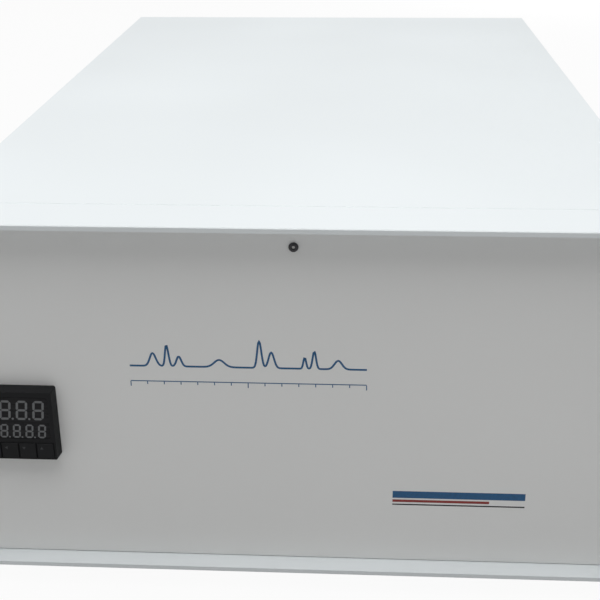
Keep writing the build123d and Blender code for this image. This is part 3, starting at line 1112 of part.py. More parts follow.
# Electronics
def make_electronics():
    """Power supply, main board on standoffs and the heater's solid-state relay."""
    back = REAR_INNER - INLET_DEPTH - 4
    half = SUPPLY_LENGTH / 2
    low = FLOOR_Z + SUPPLY_LIFT
    supply = block(SUPPLY_X - half, SUPPLY_X + half, back - SUPPLY_WIDTH, back, low, low + SUPPLY_TALL)
    for sx in (-1, 1):
        for y in (back - 10, back - SUPPLY_WIDTH + 10):
            supply += rod_z(SUPPLY_X + sx * (half - 10), y, FLOOR_Z, low, 4.0)
    for index in range(10):
        x = SUPPLY_X - half + 15 + index * 12
        supply -= block(x, x + 5, back - SUPPLY_WIDTH + 12, back - 12, low + SUPPLY_TALL - 1.5,
                        low + SUPPLY_TALL + 1)
    keep("power_supply", supply)

    board_z = FLOOR_Z + BOARD_STANDOFF
    front = BEZEL_DEPTH + 6
    left = BOARD_X - BOARD_WIDTH / 2
    right = BOARD_X + BOARD_WIDTH / 2
    board = block(left, right, front, front + BOARD_DEPTH, board_z, board_z + BOARD_THICKNESS)
    top = board_z + BOARD_THICKNESS
    for share, offset, width, depth, tall in BOARD_PARTS:
        x = left + BOARD_WIDTH * share
        board += block(x - width / 2, x + width / 2, front + offset, front + offset + depth, top, top + tall)
    for x in (left + 6, right - 6):
        for y in (front + 6, front + BOARD_DEPTH - 6):
            board += rod_z(x, y, FLOOR_Z, board_z, 3.0)
    keep("main_board", board)

    relay = block(RELAY_X - RELAY_WIDTH / 2, RELAY_X + RELAY_WIDTH / 2, RELAY_Y - RELAY_LENGTH / 2,
                  RELAY_Y + RELAY_LENGTH / 2, FLOOR_Z, FLOOR_Z + RELAY_TALL)
    for sy in (-1, 1):
        for sx in (-1, 1):
            relay -= rod_z(RELAY_X + sx * 12, RELAY_Y + sy * 22, FLOOR_Z + RELAY_TALL - 5,
                           FLOOR_Z + RELAY_TALL + 1, 4.0)
            relay += rod_z(RELAY_X + sx * 12, RELAY_Y + sy * 22, FLOOR_Z + RELAY_TALL - 6,
                           FLOOR_Z + RELAY_TALL - 3, 3.0)
    keep("solid_state_relay", relay)


def make_wiring_loom():
    """Three sleeved wires: controller to board, supply to board, and fan to supply."""
    board_z = FLOOR_Z + BOARD_STANDOFF + BOARD_THICKNESS / 2
    board_left = BOARD_X - BOARD_WIDTH / 2
    terminal_x = CONTROLLER_X + CASE_SIZE / 4
    terminal_y = PANEL_FRONT + CASE_DEPTH + TERMINAL_DEPTH
    front = BEZEL_DEPTH + 6
    turn_x = board_left - WIRE_LEAD
    control = ((terminal_x, terminal_y, CONTROLLER_Z), (terminal_x, terminal_y + WIRE_LEAD, CONTROLLER_Z),
               (terminal_x, terminal_y + WIRE_LEAD, board_z), (turn_x, front + BOARD_DEPTH * 0.8, board_z),
               (board_left, front + BOARD_DEPTH * 0.8, board_z))
    supply_front = REAR_INNER - INLET_DEPTH - 4 - SUPPLY_WIDTH
    lane_x = WIRE_LANE - HALF_WIDTH
    supply_x = SUPPLY_X - SUPPLY_LENGTH / 2 + WIRE_LEAD
    feed = ((supply_x, supply_front, WIRE_Z), (supply_x, supply_front - WIRE_LEAD, WIRE_Z),
            (lane_x, supply_front - 2 * WIRE_LEAD, board_z), (lane_x, front + BOARD_DEPTH * 0.3, board_z),
            (board_left, front + BOARD_DEPTH * 0.3, board_z))
    fan_left = FAN_X - FAN_SIZE / 2
    fan_y = REAR_INNER - FAN_DEPTH / 2
    supply_right = SUPPLY_X + SUPPLY_LENGTH / 2
    fan_z = BASE_Z + FAN_HEIGHT - FAN_SIZE / 2 + WIRE_LEAD
    supply_y = supply_front + SUPPLY_WIDTH * 0.6
    fan = ((fan_left, fan_y, fan_z), (fan_left - WIRE_LEAD, fan_y, fan_z),
           (fan_left - WIRE_LEAD, fan_y, WIRE_Z),
           (supply_right + WIRE_LEAD, fan_y, WIRE_Z), (supply_right + WIRE_LEAD, supply_y, WIRE_Z),
           (supply_right, supply_y, WIRE_Z))
    to_board = tube_along(feed, WIRE_BEND, WIRE_RADIUS)
    for clip_y in WIRE_CLIP_YS:
        to_board += block(lane_x - WIRE_CLIP_WIDTH / 2, lane_x + WIRE_CLIP_WIDTH / 2,
                          clip_y - WIRE_CLIP_LENGTH / 2, clip_y + WIRE_CLIP_LENGTH / 2,
                          FLOOR_Z, board_z + WIRE_RADIUS + WIRE_CLIP_COVER)
    keep("wiring_loom", tube_along(control, WIRE_BEND, WIRE_RADIUS), to_board,
         tube_along(fan, WIRE_BEND, WIRE_RADIUS))


make_base_tray()
make_front_bezel()
make_front_panel()
make_panel_screw()
make_side_panels()
make_rear_panel()
make_rubber_feet()
make_case_screws()
make_top_lid()
make_lid_gasket()
make_hinges()
make_lid_catches()
make_controller()
make_mains()
make_data_socket()
make_earth_stud()
make_fan()
make_gas_ports()
make_gas_lines()
make_optical_plate()
make_interferometer()
make_optics()
make_gas_cell()
make_electronics()
make_wiring_loom()

centred = Pos(0, -TOTAL_DEPTH / 2, 0)
for name, shape in nodes.items():
    export_step(centred * shape, f"parts/{name}.step")
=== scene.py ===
import math
import json
import random

import bmesh
import bpy
from mathutils import Matrix, Vector
from mathutils.bvhtree import BVHTree


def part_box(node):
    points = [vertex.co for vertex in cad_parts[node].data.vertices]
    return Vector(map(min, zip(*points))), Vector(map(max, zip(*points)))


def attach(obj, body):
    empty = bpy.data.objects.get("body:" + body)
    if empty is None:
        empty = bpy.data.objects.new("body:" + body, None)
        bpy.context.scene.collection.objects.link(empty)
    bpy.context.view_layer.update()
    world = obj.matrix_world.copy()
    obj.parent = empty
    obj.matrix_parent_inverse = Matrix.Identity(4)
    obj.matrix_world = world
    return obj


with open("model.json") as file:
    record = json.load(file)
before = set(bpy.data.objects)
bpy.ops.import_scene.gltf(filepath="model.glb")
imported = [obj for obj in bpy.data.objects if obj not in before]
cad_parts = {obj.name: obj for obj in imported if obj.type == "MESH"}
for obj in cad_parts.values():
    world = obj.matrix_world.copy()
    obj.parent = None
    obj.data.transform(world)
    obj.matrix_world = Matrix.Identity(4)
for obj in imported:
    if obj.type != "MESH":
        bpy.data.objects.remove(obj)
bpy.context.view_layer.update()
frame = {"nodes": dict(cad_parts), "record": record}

bl_info = {
    "name": "Bench infrared spectrometer",
    "version": (1, 0, 0),
    "blender": (4, 5, 0),
    "location": "View3D > Sidebar > Spectrometer",
    "description": "Finishes and dresses a bench infrared spectrometer round its fixed frame",
    "category": "Object",
}

FRAME_NODES = frame["nodes"]
PANEL_FACE_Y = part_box("front_panel")[0].y
REAR_FACE_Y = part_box("rear_panel")[1].y
WINDOW_LOW, WINDOW_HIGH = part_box("controller_window")
PRINT_RISE = 0.00005


# Camera of the reference view: place in metres, angles in degrees, sensor in millimetres
IMAGE_SIDE = 600.0
SENSOR = 36.0
FOCAL_PIXELS = 1110.8
CAMERA_PLACE = (0.03705, -0.94047, 0.45426)
CAMERA_YAW = -3.262
CAMERA_PITCH = 23.534
CAMERA_ROLL = -0.382
CAMERA_REACH = 50.0


class SpectrometerSizes(bpy.types.PropertyGroup):
    """Sizes and colours of the finishes that a user would change."""

    case_colour: bpy.props.FloatVectorProperty(
        name="Case paint", description="Colour of the powder-coated case", subtype="COLOR", size=3,
        min=0.0, max=1.0, default=(0.79, 0.83, 0.845))
    panel_colour: bpy.props.FloatVectorProperty(
        name="Panel paint", description="Colour of the recessed front panel", subtype="COLOR", size=3,
        min=0.0, max=1.0, default=(0.83, 0.835, 0.825))
    print_blue: bpy.props.FloatVectorProperty(
        name="Blue print", description="Ink of the trace on the panel", subtype="COLOR", size=3,
        min=0.0, max=1.0, default=(0.015, 0.10, 0.24))
    print_red: bpy.props.FloatVectorProperty(
        name="Red print", description="Ink of the thin stripe", subtype="COLOR", size=3,
        min=0.0, max=1.0, default=(0.27, 0.035, 0.03))
    trace_width: bpy.props.FloatProperty(
        name="Trace width", description="Line width of the printed trace", unit="LENGTH",
        min=0.0002, max=0.004, default=0.0012)
    digit_height: bpy.props.FloatProperty(
        name="Digit height", description="Height of the large digits", unit="LENGTH",
        min=0.005, max=0.02, default=0.0133)
    small_digit_height: bpy.props.FloatProperty(
        name="Small digit height", description="Height of the small digits", unit="LENGTH",
        min=0.003, max=0.015, default=0.0095)


# Node helpers
def new_material(name):
    """A fresh node material with its shader, output and object coordinates."""
    material = bpy.data.materials.new(name)
    material.use_nodes = True
    tree = material.node_tree
    shader = tree.nodes["Principled BSDF"]
    place = tree.nodes.new("ShaderNodeTexCoord")
    return material, tree, shader, place.outputs["Object"]


def add_node(tree, kind, **inputs):
    """One node with its input values set by name."""
    node = tree.nodes.new(kind)
    for key, value in inputs.items():
        node.inputs[key.replace("_", " ")].default_value = value
    return node


def mapped(tree, place, scale):
    """Object coordinates stretched by a scale on each axis."""
    mapping = add_node(tree, "ShaderNodeMapping", Scale=scale)
    tree.links.new(place, mapping.inputs["Vector"])
    return mapping.outputs["Vector"]


def noise(tree, vector, scale, detail=3.0, roughness=0.55):
    """Noise on a vector."""
    node = add_node(tree, "ShaderNodeTexNoise", Scale=scale, Detail=detail, Roughness=roughness)
    tree.links.new(vector, node.inputs["Vector"])
    return node.outputs["Fac"]


def ramp(tree, factor, low, high, start=0.3, end=0.7):
    """Colours between two values over part of the factor's range."""
    node = tree.nodes.new("ShaderNodeValToRGB")
    node.color_ramp.elements[0].position = start
    node.color_ramp.elements[1].position = end
    node.color_ramp.elements[0].color = (*low, 1.0)
    node.color_ramp.elements[1].color = (*high, 1.0)
    tree.links.new(factor, node.inputs["Fac"])
    return node.outputs["Color"]


def spread(tree, factor, low, high):
    """A factor stretched to a range of values."""
    node = add_node(tree, "ShaderNodeMapRange", From_Min=0.3, From_Max=0.7, To_Min=low, To_Max=high)
    tree.links.new(factor, node.inputs["Value"])
    return node.outputs["Result"]


def bump(tree, shader, height, strength, distance):
    """Surface relief from a height."""
    node = add_node(tree, "ShaderNodeBump", Strength=strength, Distance=distance)
    tree.links.new(height, node.inputs["Height"])
    tree.links.new(node.outputs["Normal"], shader.inputs["Normal"])


def shade(colour, factor):
    """A colour made lighter or darker."""
    return tuple(min(1.0, channel * factor) for channel in colour)


# Finishes
def powder_coat(name, colour, roughness=0.42, grain=900.0):
    """Satin powder coat: fine orange peel and a slow drift of tone."""
    material, tree, shader, place = new_material(name)
    drift = noise(tree, place, 3.0, 2.0)
    tree.links.new(ramp(tree, drift, shade(colour, 0.975), shade(colour, 1.01)), shader.inputs["Base Color"])
    peel = noise(tree, place, grain, 2.0)
    tree.links.new(spread(tree, drift, roughness - 0.03, roughness + 0.05), shader.inputs["Roughness"])
    bump(tree, shader, peel, 0.12, 0.0002)
    shader.inputs["Specular IOR Level"].default_value = 0.4
    return material


def sheet_metal(name, colour, roughness=0.35, stretch=(40.0, 900.0, 900.0)):
    """Rolled or brushed metal with fine lines one way and a cloudy tone."""
    material, tree, shader, place = new_material(name)
    cloud = noise(tree, place, 14.0, 4.0)
    lines = noise(tree, mapped(tree, place, stretch), 1.0, 3.0)
    tree.links.new(ramp(tree, cloud, shade(colour, 0.88), shade(colour, 1.06)), shader.inputs["Base Color"])
    tree.links.new(spread(tree, lines, roughness - 0.08, roughness + 0.12), shader.inputs["Roughness"])
    bump(tree, shader, lines, 0.08, 0.0001)
    shader.inputs["Metallic"].default_value = 1.0
    return material


def moulding(name, colour, roughness=0.5, grain=1400.0, depth=0.2, gloss=0.5):
    """Moulded plastic or rubber with a spark-eroded grain."""
    material, tree, shader, place = new_material(name)
    pits = noise(tree, place, grain, 2.0)
    drift = noise(tree, place, 25.0, 2.0)
    tree.links.new(ramp(tree, drift, shade(colour, 0.85), shade(colour, 1.15)), shader.inputs["Base Color"])
    tree.links.new(spread(tree, drift, roughness - 0.05, roughness + 0.06), shader.inputs["Roughness"])
    bump(tree, shader, pits, depth, 0.0001)
    shader.inputs["Specular IOR Level"].default_value = gloss
    return material


def smoked_window(name):
    """Dark glossy display window with faint wiping marks."""
    material, tree, shader, place = new_material(name)
    haze = noise(tree, mapped(tree, place, (60.0, 60.0, 400.0)), 1.0, 3.0)
    tint = ramp(tree, haze, (0.012, 0.012, 0.013), (0.016, 0.016, 0.017))
    tree.links.new(tint, shader.inputs["Base Color"])
    tree.links.new(spread(tree, haze, 0.22, 0.34), shader.inputs["Roughness"])
    shader.inputs["Specular IOR Level"].default_value = 0.14
    return material


def clear_optic(name, colour):
    """Polished infrared window with a thin coating tint."""
    material, tree, shader, place = new_material(name)
    tint = noise(tree, place, 30.0, 2.0)
    tree.links.new(ramp(tree, tint, shade(colour, 0.92), colour), shader.inputs["Base Color"])
    tree.links.new(spread(tree, tint, 0.03, 0.07), shader.inputs["Roughness"])
    shader.inputs["Transmission Weight"].default_value = 0.75
    shader.inputs["IOR"].default_value = 1.5
    return material


WAVE_SCALE = 0.314


def woven_cloth(name, colour, pitch=0.0016):
    """Glass cloth: two crossing thread directions with a soft sheen."""
    material, tree, shader, place = new_material(name)
    waves = []
    for direction in ("X", "Y"):
        wave = add_node(tree, "ShaderNodeTexWave", Scale=WAVE_SCALE / pitch, Distortion=0.6, Detail=1.0)
        wave.bands_direction = direction
        tree.links.new(place, wave.inputs["Vector"])
        waves.append(wave.outputs["Fac"])
    mix = tree.nodes.new("ShaderNodeMath")
    mix.operation = "MULTIPLY"
    tree.links.new(waves[0], mix.inputs[0])
    tree.links.new(waves[1], mix.inputs[1])
    tree.links.new(ramp(tree, mix.outputs["Value"], shade(colour, 0.8), shade(colour, 1.1), 0.1, 0.8),
                   shader.inputs["Base Color"])
    bump(tree, shader, mix.outputs["Value"], 0.5, 0.0004)
    shader.inputs["Roughness"].default_value = 0.85
    shader.inputs["Sheen Weight"].default_value = 0.2
    return material


def circuit_board(name):
    """Green solder mask with copper tracks showing as paler lines."""
    material, tree, shader, place = new_material(name)
    bricks = add_node(tree, "ShaderNodeTexBrick", Scale=120.0, Mortar_Size=0.06,
                      Color1=(0.010, 0.085, 0.035, 1), Color2=(0.012, 0.095, 0.04, 1),
                      Mortar=(0.03, 0.17, 0.07, 1))
    tree.links.new(place, bricks.inputs["Vector"])
    tree.links.new(bricks.outputs["Color"], shader.inputs["Base Color"])
    bump(tree, shader, bricks.outputs["Fac"], 0.2, 0.0001)
    shader.inputs["Roughness"].default_value = 0.32
    return material


def ink(name, colour):
    """Screen-printed ink, slightly uneven."""
    material, tree, shader, place = new_material(name)
    cover = noise(tree, place, 600.0, 2.0)
    tree.links.new(ramp(tree, cover, shade(colour, 0.9), shade(colour, 1.12)), shader.inputs["Base Color"])
    tree.links.new(spread(tree, cover, 0.45, 0.55), shader.inputs["Roughness"])
    return material


def split_metal(name, inner, outer, factor_of, roughness):
    """Metal in two tones: outer where the factor made by factor_of is 1, inner where it is 0."""
    material, tree, shader, place = new_material(name)
    split = factor_of(tree, place)
    tree.links.new(ramp(tree, split, inner, outer, 0.49, 0.51), shader.inputs["Base Color"])
    lines = noise(tree, mapped(tree, place, (300.0, 300.0, 300.0)), 1.0, 3.0)
    tree.links.new(spread(tree, lines, roughness - 0.05, roughness + 0.08), shader.inputs["Roughness"])
    bump(tree, shader, lines, 0.06, 0.0001)
    shader.inputs["Metallic"].default_value = 1.0
    return material


def above_height(height):
    """A factor that steps from 0 to 1 at a height, read from object coordinates."""
    def factor_of(tree, place):
        parts = tree.nodes.new("ShaderNodeSeparateXYZ")
        tree.links.new(place, parts.inputs["Vector"])
        level = add_node(tree, "ShaderNodeMapRange", From_Min=height - 0.001, From_Max=height + 0.001)
        tree.links.new(parts.outputs["Z"], level.inputs["Value"])
        return level.outputs["Result"]
    return factor_of


def outside_axis(centre, radius):
    """A factor that steps from 0 to 1 at a radius from a line along y through a centre."""
    def factor_of(tree, place):
        shift = add_node(tree, "ShaderNodeMapping", Location=(-centre.x, 0.0, -centre.z))
        tree.links.new(place, shift.inputs["Vector"])
        flat = add_node(tree, "ShaderNodeMapping", Scale=(1.0, 0.0, 1.0))
        tree.links.new(shift.outputs["Vector"], flat.inputs["Vector"])
        reach = tree.nodes.new("ShaderNodeVectorMath")
        reach.operation = "LENGTH"
        tree.links.new(flat.outputs["Vector"], reach.inputs[0])
        level = add_node(tree, "ShaderNodeMapRange", From_Min=radius * 0.8, From_Max=radius * 1.2)
        tree.links.new(reach.outputs["Value"], level.inputs["Value"])
        return level.outputs["Result"]
    return factor_of


MATERIALS = {}
SCREW_LOW, SCREW_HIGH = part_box("panel_screw")
SCREW_CENTRE = (SCREW_LOW + SCREW_HIGH) / 2
# Inside this radius the panel screw's head is painted bright metal: a painted highlight at its centre
SCREW_SHEEN_RADIUS = 0.0008
MIRROR_REACH = 0.041
MIRROR_FOOT_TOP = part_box("collimator_mirror")[1].z - MIRROR_REACH
OWN_FINISH = {
    "panel_screw": "dark_screw_painted_glint",
    "collimator_mirror": "mounted_mirror",
    "bench_mirrors": "mounted_mirror",
}


def build_materials(sizes):
    """Every finish of the spectrometer, by the slot or piece that wears it."""
    case = tuple(sizes.case_colour)
    panel = tuple(sizes.panel_colour)
    MATERIALS.update({
        "case_paint": powder_coat("case_paint", case),
        "panel_paint": powder_coat("panel_paint", panel, 0.46),
        "zinc_sheet": sheet_metal("zinc_sheet", (0.60, 0.60, 0.58), 0.38),
        "bright_screws": sheet_metal("bright_screws", (0.58, 0.58, 0.57), 0.28, (900.0, 900.0, 900.0)),
        "black_rubber": moulding("black_rubber", (0.022, 0.022, 0.023), 0.75, 900.0, 0.3),
        "hinge_steel": sheet_metal("hinge_steel", (0.52, 0.52, 0.53), 0.3),
        "black_moulding": moulding("black_moulding", (0.0150, 0.0155, 0.0165), 0.55, gloss=0.12),
        "key_rubber": moulding("key_rubber", (0.0145, 0.0150, 0.0160), 0.6, 1800.0, 0.15, 0.15),
        "display_window": smoked_window("display_window"),
        "display_face": moulding("display_face", (0.03, 0.032, 0.035), 0.4),
        "wire_sleeve": moulding("wire_sleeve", (0.05, 0.05, 0.055), 0.7, 260.0, 0.5),
        "terminal_plastic": moulding("terminal_plastic", (0.03, 0.05, 0.03), 0.5),
        "port_steel": sheet_metal("port_steel", (0.62, 0.61, 0.59), 0.24, (700.0, 60.0, 700.0)),
        "earth_brass": sheet_metal("earth_brass", (0.70, 0.50, 0.20), 0.26, (700.0, 60.0, 700.0)),
        "anodised_plate": sheet_metal("anodised_plate", (0.055, 0.057, 0.062), 0.45, (500.0, 500.0, 500.0)),
        "pivot_steel": sheet_metal("pivot_steel", (0.50, 0.50, 0.50), 0.22, (60.0, 60.0, 900.0)),
        "coil_copper": sheet_metal("coil_copper", (0.70, 0.26, 0.11), 0.3, (1500.0, 1500.0, 90.0)),
        "gold_mirror": sheet_metal("gold_mirror", (0.95, 0.70, 0.30), 0.12, (40.0, 40.0, 40.0)),
        "mounted_mirror": split_metal("mounted_mirror", (0.05, 0.052, 0.057), (0.95, 0.70, 0.30),
                                      above_height(MIRROR_FOOT_TOP), 0.16),
        # Panel screw: dark black-oxide head with a painted highlight of bright metal in its middle
        "dark_screw_painted_glint": split_metal("dark_screw_painted_glint", (0.62, 0.62, 0.60), (0.080, 0.080, 0.084),
                                  outside_axis(SCREW_CENTRE, SCREW_SHEEN_RADIUS), 0.5),
        "infrared_glass": clear_optic("infrared_glass", (0.86, 0.90, 0.78)),
        "ceramic_source": moulding("ceramic_source", (0.62, 0.58, 0.50), 0.7, 500.0, 0.3),
        "laser_housing": sheet_metal("laser_housing", (0.48, 0.48, 0.50), 0.33),
        "jacket_cloth": woven_cloth("jacket_cloth", (0.52, 0.50, 0.44)),
        "strap_cloth": woven_cloth("strap_cloth", (0.10, 0.10, 0.11), 0.001),
        "circuit_board": circuit_board("circuit_board"),
        "blue_ink": ink("blue_ink", tuple(sizes.print_blue)),
        "red_ink": ink("red_ink", tuple(sizes.print_red)),
        "black_ink": ink("black_ink", (0.012, 0.012, 0.013)),
        "white_ink": ink("white_ink", (0.75, 0.75, 0.74)),
        "segment_grey": ink("segment_grey", (0.14, 0.145, 0.15)),
        "legend_grey": ink("legend_grey", (0.03, 0.031, 0.034)),
        "chip_black": moulding("chip_black", (0.016, 0.016, 0.017), 0.55),
    })


# Mesh helpers
def finish_piece(name, shape, material, body):
    """Turn a bmesh into a piece that rides on a body."""
    bmesh.ops.recalc_face_normals(shape, faces=shape.faces)
    mesh = bpy.data.meshes.new(name)
    shape.to_mesh(mesh)
    shape.free()
    piece = bpy.data.objects.new(name, mesh)
    bpy.context.scene.collection.objects.link(piece)
    mesh.materials.append(MATERIALS[material])
    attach(piece, body)


def add_box(shape, low, high):
    """A box between two corners in a bmesh."""
    low = Vector(low)
    high = Vector(high)
    made = bmesh.ops.create_cube(shape, size=1.0)["verts"]
    size = high - low
    bmesh.ops.scale(shape, vec=size, verts=made)
    bmesh.ops.translate(shape, vec=(low + high) / 2, verts=made)
    return made


def add_upright_disc(shape, centre, radius, length, segments):
    """An upright round bar, centred."""
    bmesh.ops.create_cone(shape, cap_ends=True, segments=segments, radius1=radius, radius2=radius,
                          depth=length, matrix=Matrix.Translation(centre))


def add_ring(shape, centre, axis, inner, outer, length, segments=48):
    """A flat ring or band round an axis, centred."""
    turn = Vector((0, 0, 1)).rotation_difference(Vector(axis)).to_matrix().to_4x4()
    matrix = Matrix.Translation(centre) @ turn @ Matrix.Translation((0, 0, -length / 2))
    edges = []
    for radius in (inner, outer):
        made = bmesh.ops.create_circle(shape, segments=segments, radius=radius, matrix=matrix)["verts"]
        edges += dict.fromkeys(edge for vert in made for edge in vert.link_edges)
    bridge = bmesh.ops.bridge_loops(shape, edges=edges)["faces"]
    grown = bmesh.ops.extrude_face_region(shape, geom=bridge)["geom"]
    moved = [item for item in grown if isinstance(item, bmesh.types.BMVert)]
    bmesh.ops.translate(shape, vec=Vector(axis).normalized() * length, verts=moved)


def add_flat(shape, points, y, rise):
    """A flat figure facing the front, from its corner points in x and z, as a thin closed solid."""
    corners = [shape.verts.new((x, y, z)) for x, z in points]
    face = shape.faces.new(corners)
    made = bmesh.ops.extrude_face_region(shape, geom=[face])["geom"]
    moved = [item for item in made if isinstance(item, bmesh.types.BMVert)]
    bmesh.ops.translate(shape, vec=(0, -rise, 0), verts=moved)


# Pieces
def dress_nodes():
    """Give every CAD node the finish of its slot, or its own where it has one."""
    for entry in frame["record"]["subparts"]:
        node = FRAME_NODES[entry["node"]]
        node.data.materials.clear()
        node.data.materials.append(MATERIALS[OWN_FINISH.get(entry["node"], entry["material_slot"])])
        for polygon in node.data.polygons:
            polygon.material_index = 0


SEGMENTS = {
    "top": (0.0, 1.0, True), "middle": (0.0, 0.5, True), "bottom": (0.0, 0.0, True),
    "upper_left": (-0.5, 0.75, False), "upper_right": (0.5, 0.75, False),
    "lower_left": (-0.5, 0.25, False), "lower_right": (0.5, 0.25, False),
}
SEGMENT_SLANT = 0.10
SEGMENT_GAP = 0.14
DOT_SHIFT = 0.9
DOT_POINTS = 10


def circle_points(x, z, radius, count=20):
    """Corner points of a round flat figure."""
    return [(x + radius * math.cos(math.tau * step / count), z + radius * math.sin(math.tau * step / count))
            for step in range(count)]


def add_digit(shape, x, z, width, height, stroke, y, dotted):
    """One unlit seven-segment digit, with its decimal dot if it is dotted, from its middle bottom."""
    inner = height - stroke
    for across, up, level in SEGMENTS.values():
        middle_x = x + across * (width - stroke)
        middle_z = z + stroke / 2 + up * inner
        half = stroke / 2
        reach = (width - stroke if level else inner / 2) / 2 - stroke * SEGMENT_GAP
        if level:
            outline = ((-reach, 0), (-reach + half, half), (reach - half, half),
                       (reach, 0), (reach - half, -half), (-reach + half, -half))
        else:
            outline = ((0, -reach), (-half, -reach + half), (-half, reach - half),
                       (0, reach), (half, reach - half), (half, -reach + half))
        points = [(middle_x + dx + (middle_z + dz - z) * SEGMENT_SLANT, middle_z + dz) for dx, dz in outline]
        add_flat(shape, points, y, PRINT_RISE)
    if not dotted:
        return
    dot_x = x + width / 2 + stroke * DOT_SHIFT
    add_flat(shape, circle_points(dot_x, z + stroke / 2, stroke / 2, DOT_POINTS), y, PRINT_RISE)


DIGIT_COUNT = 4
DIGIT_LAST_X = 0.0136
DIGIT_PITCH = 0.0102
DIGIT_RISE = 0.0140
DIGIT_WIDTH_SHARE = 0.53
DIGIT_STROKE_SHARE = 0.11
SMALL_DIGIT_LAST_X = 0.0148
SMALL_DIGIT_PITCH = 0.0078
SMALL_DIGIT_RISE = 0.0014
SMALL_DIGIT_WIDTH_SHARE = 0.52
SMALL_DIGIT_STROKE_SHARE = 0.12
LAMP_ROWS = 3
LAMP_COLUMNS = 2
LAMP_START_X = 0.0026
LAMP_PITCH_X = 0.0022
LAMP_START_Z = 0.0042
LAMP_PITCH_Z = 0.0030
LAMP_RADIUS = 0.0007
LAMP_POINTS = 12


class SPECTRO_OT_display(bpy.types.Operator):
    """Unlit digits and small lamps behind the controller's window"""
    bl_idname = "spectro.display"
    bl_label = "Controller display"

    def execute(self, context):
        sizes = context.scene.spectrometer
        centre_x = (WINDOW_LOW.x + WINDOW_HIGH.x) / 2
        low_z = WINDOW_LOW.z
        y = WINDOW_LOW.y
        shape = bmesh.new()
        tall = sizes.digit_height
        for index in range(DIGIT_COUNT):
            add_digit(shape, centre_x + (DIGIT_LAST_X - DIGIT_PITCH * index), low_z + DIGIT_RISE,
                      tall * DIGIT_WIDTH_SHARE, tall, tall * DIGIT_STROKE_SHARE, y, index > 0)
        finish_piece("process_digits", shape, "segment_grey", "case")
        shape = bmesh.new()
        small = sizes.small_digit_height
        for index in range(DIGIT_COUNT):
            add_digit(shape, centre_x + (SMALL_DIGIT_LAST_X - SMALL_DIGIT_PITCH * index),
                      low_z + SMALL_DIGIT_RISE, small * SMALL_DIGIT_WIDTH_SHARE, small,
                      small * SMALL_DIGIT_STROKE_SHARE, y, index > 0)
        finish_piece("setpoint_digits", shape, "segment_grey", "case")
        shape = bmesh.new()
        for row in range(LAMP_ROWS):
            for column in range(LAMP_COLUMNS):
                x = WINDOW_LOW.x + LAMP_START_X + column * LAMP_PITCH_X
                z = low_z + LAMP_START_Z + row * LAMP_PITCH_Z
                add_flat(shape, circle_points(x, z, LAMP_RADIUS, LAMP_POINTS), y, PRINT_RISE)
        finish_piece("status_lamps", shape, "legend_grey", "case")
        return {"FINISHED"}


LEGEND_HALF = 0.0011
LEGEND_SHIFT_X = -0.0022
LEGEND_SHIFT_Z = 0.0020


class SPECTRO_OT_keys(bpy.types.Operator):
    """Plain pictograms on the four keys"""
    bl_idname = "spectro.keys"
    bl_label = "Key legends"

    def execute(self, context):
        half = LEGEND_HALF
        figures = {
            "key_mode": circle_points(0.0, 0.0, half),
            "key_shift": ((-half, 0.0), (half * 0.7, half), (half * 0.7, -half)),
            "key_down": ((-half, half * 0.7), (half, half * 0.7), (0.0, -half)),
            "key_up": ((-half, -half * 0.7), (0.0, half), (half, -half * 0.7)),
        }
        for node, figure in figures.items():
            low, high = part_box(node)
            shape = bmesh.new()
            x = (low.x + high.x) / 2 + LEGEND_SHIFT_X
            z = (low.z + high.z) / 2 + LEGEND_SHIFT_Z
            add_flat(shape, [(x + dx, z + dz) for dx, dz in figure], low.y, PRINT_RISE)
            body = node.replace("key_", "") + "_key"
            finish_piece(node + "_legend", shape, "legend_grey", body)
        return {"FINISHED"}


def trace_height(share):
    """A made-up absorbance trace: a level line with a few bands in it."""
    bands = ((0.10, 0.018, 0.45), (0.16, 0.010, 0.75), (0.21, 0.014, 0.35), (0.38, 0.030, 0.25),
             (0.55, 0.012, 0.95), (0.60, 0.016, 0.55), (0.74, 0.008, 0.40), (0.78, 0.010, 0.62),
             (0.88, 0.022, 0.30))
    return sum(tall * math.exp(-((share - middle) / width) ** 2) for middle, width, tall in bands)


TRACE_LEFT = -0.099
TRACE_RIGHT = 0.043
TRACE_Z = 0.1530
TRACE_TALL = 0.0190
TRACE_STEPS = 260
AXIS_Z = 0.1425
AXIS_LINE = 0.0006
TICK_COUNT = 15
TICKS_PER_LONG = 7
LONG_TICK = 0.0032
SHORT_TICK = 0.0018
STRIPE_LEFT = 0.0605
STRIPE_RIGHT = 0.1425
STRIPE_Z = 0.0640
STRIPES = (
    ("printed_stripe_blue", "blue_ink", 0.0, 0.0050, 0.0),
    ("printed_stripe_red", "red_ink", 0.0030, 0.0018, 0.022),
    ("printed_stripe_black", "black_ink", 0.0052, 0.0009, 0.0),
)


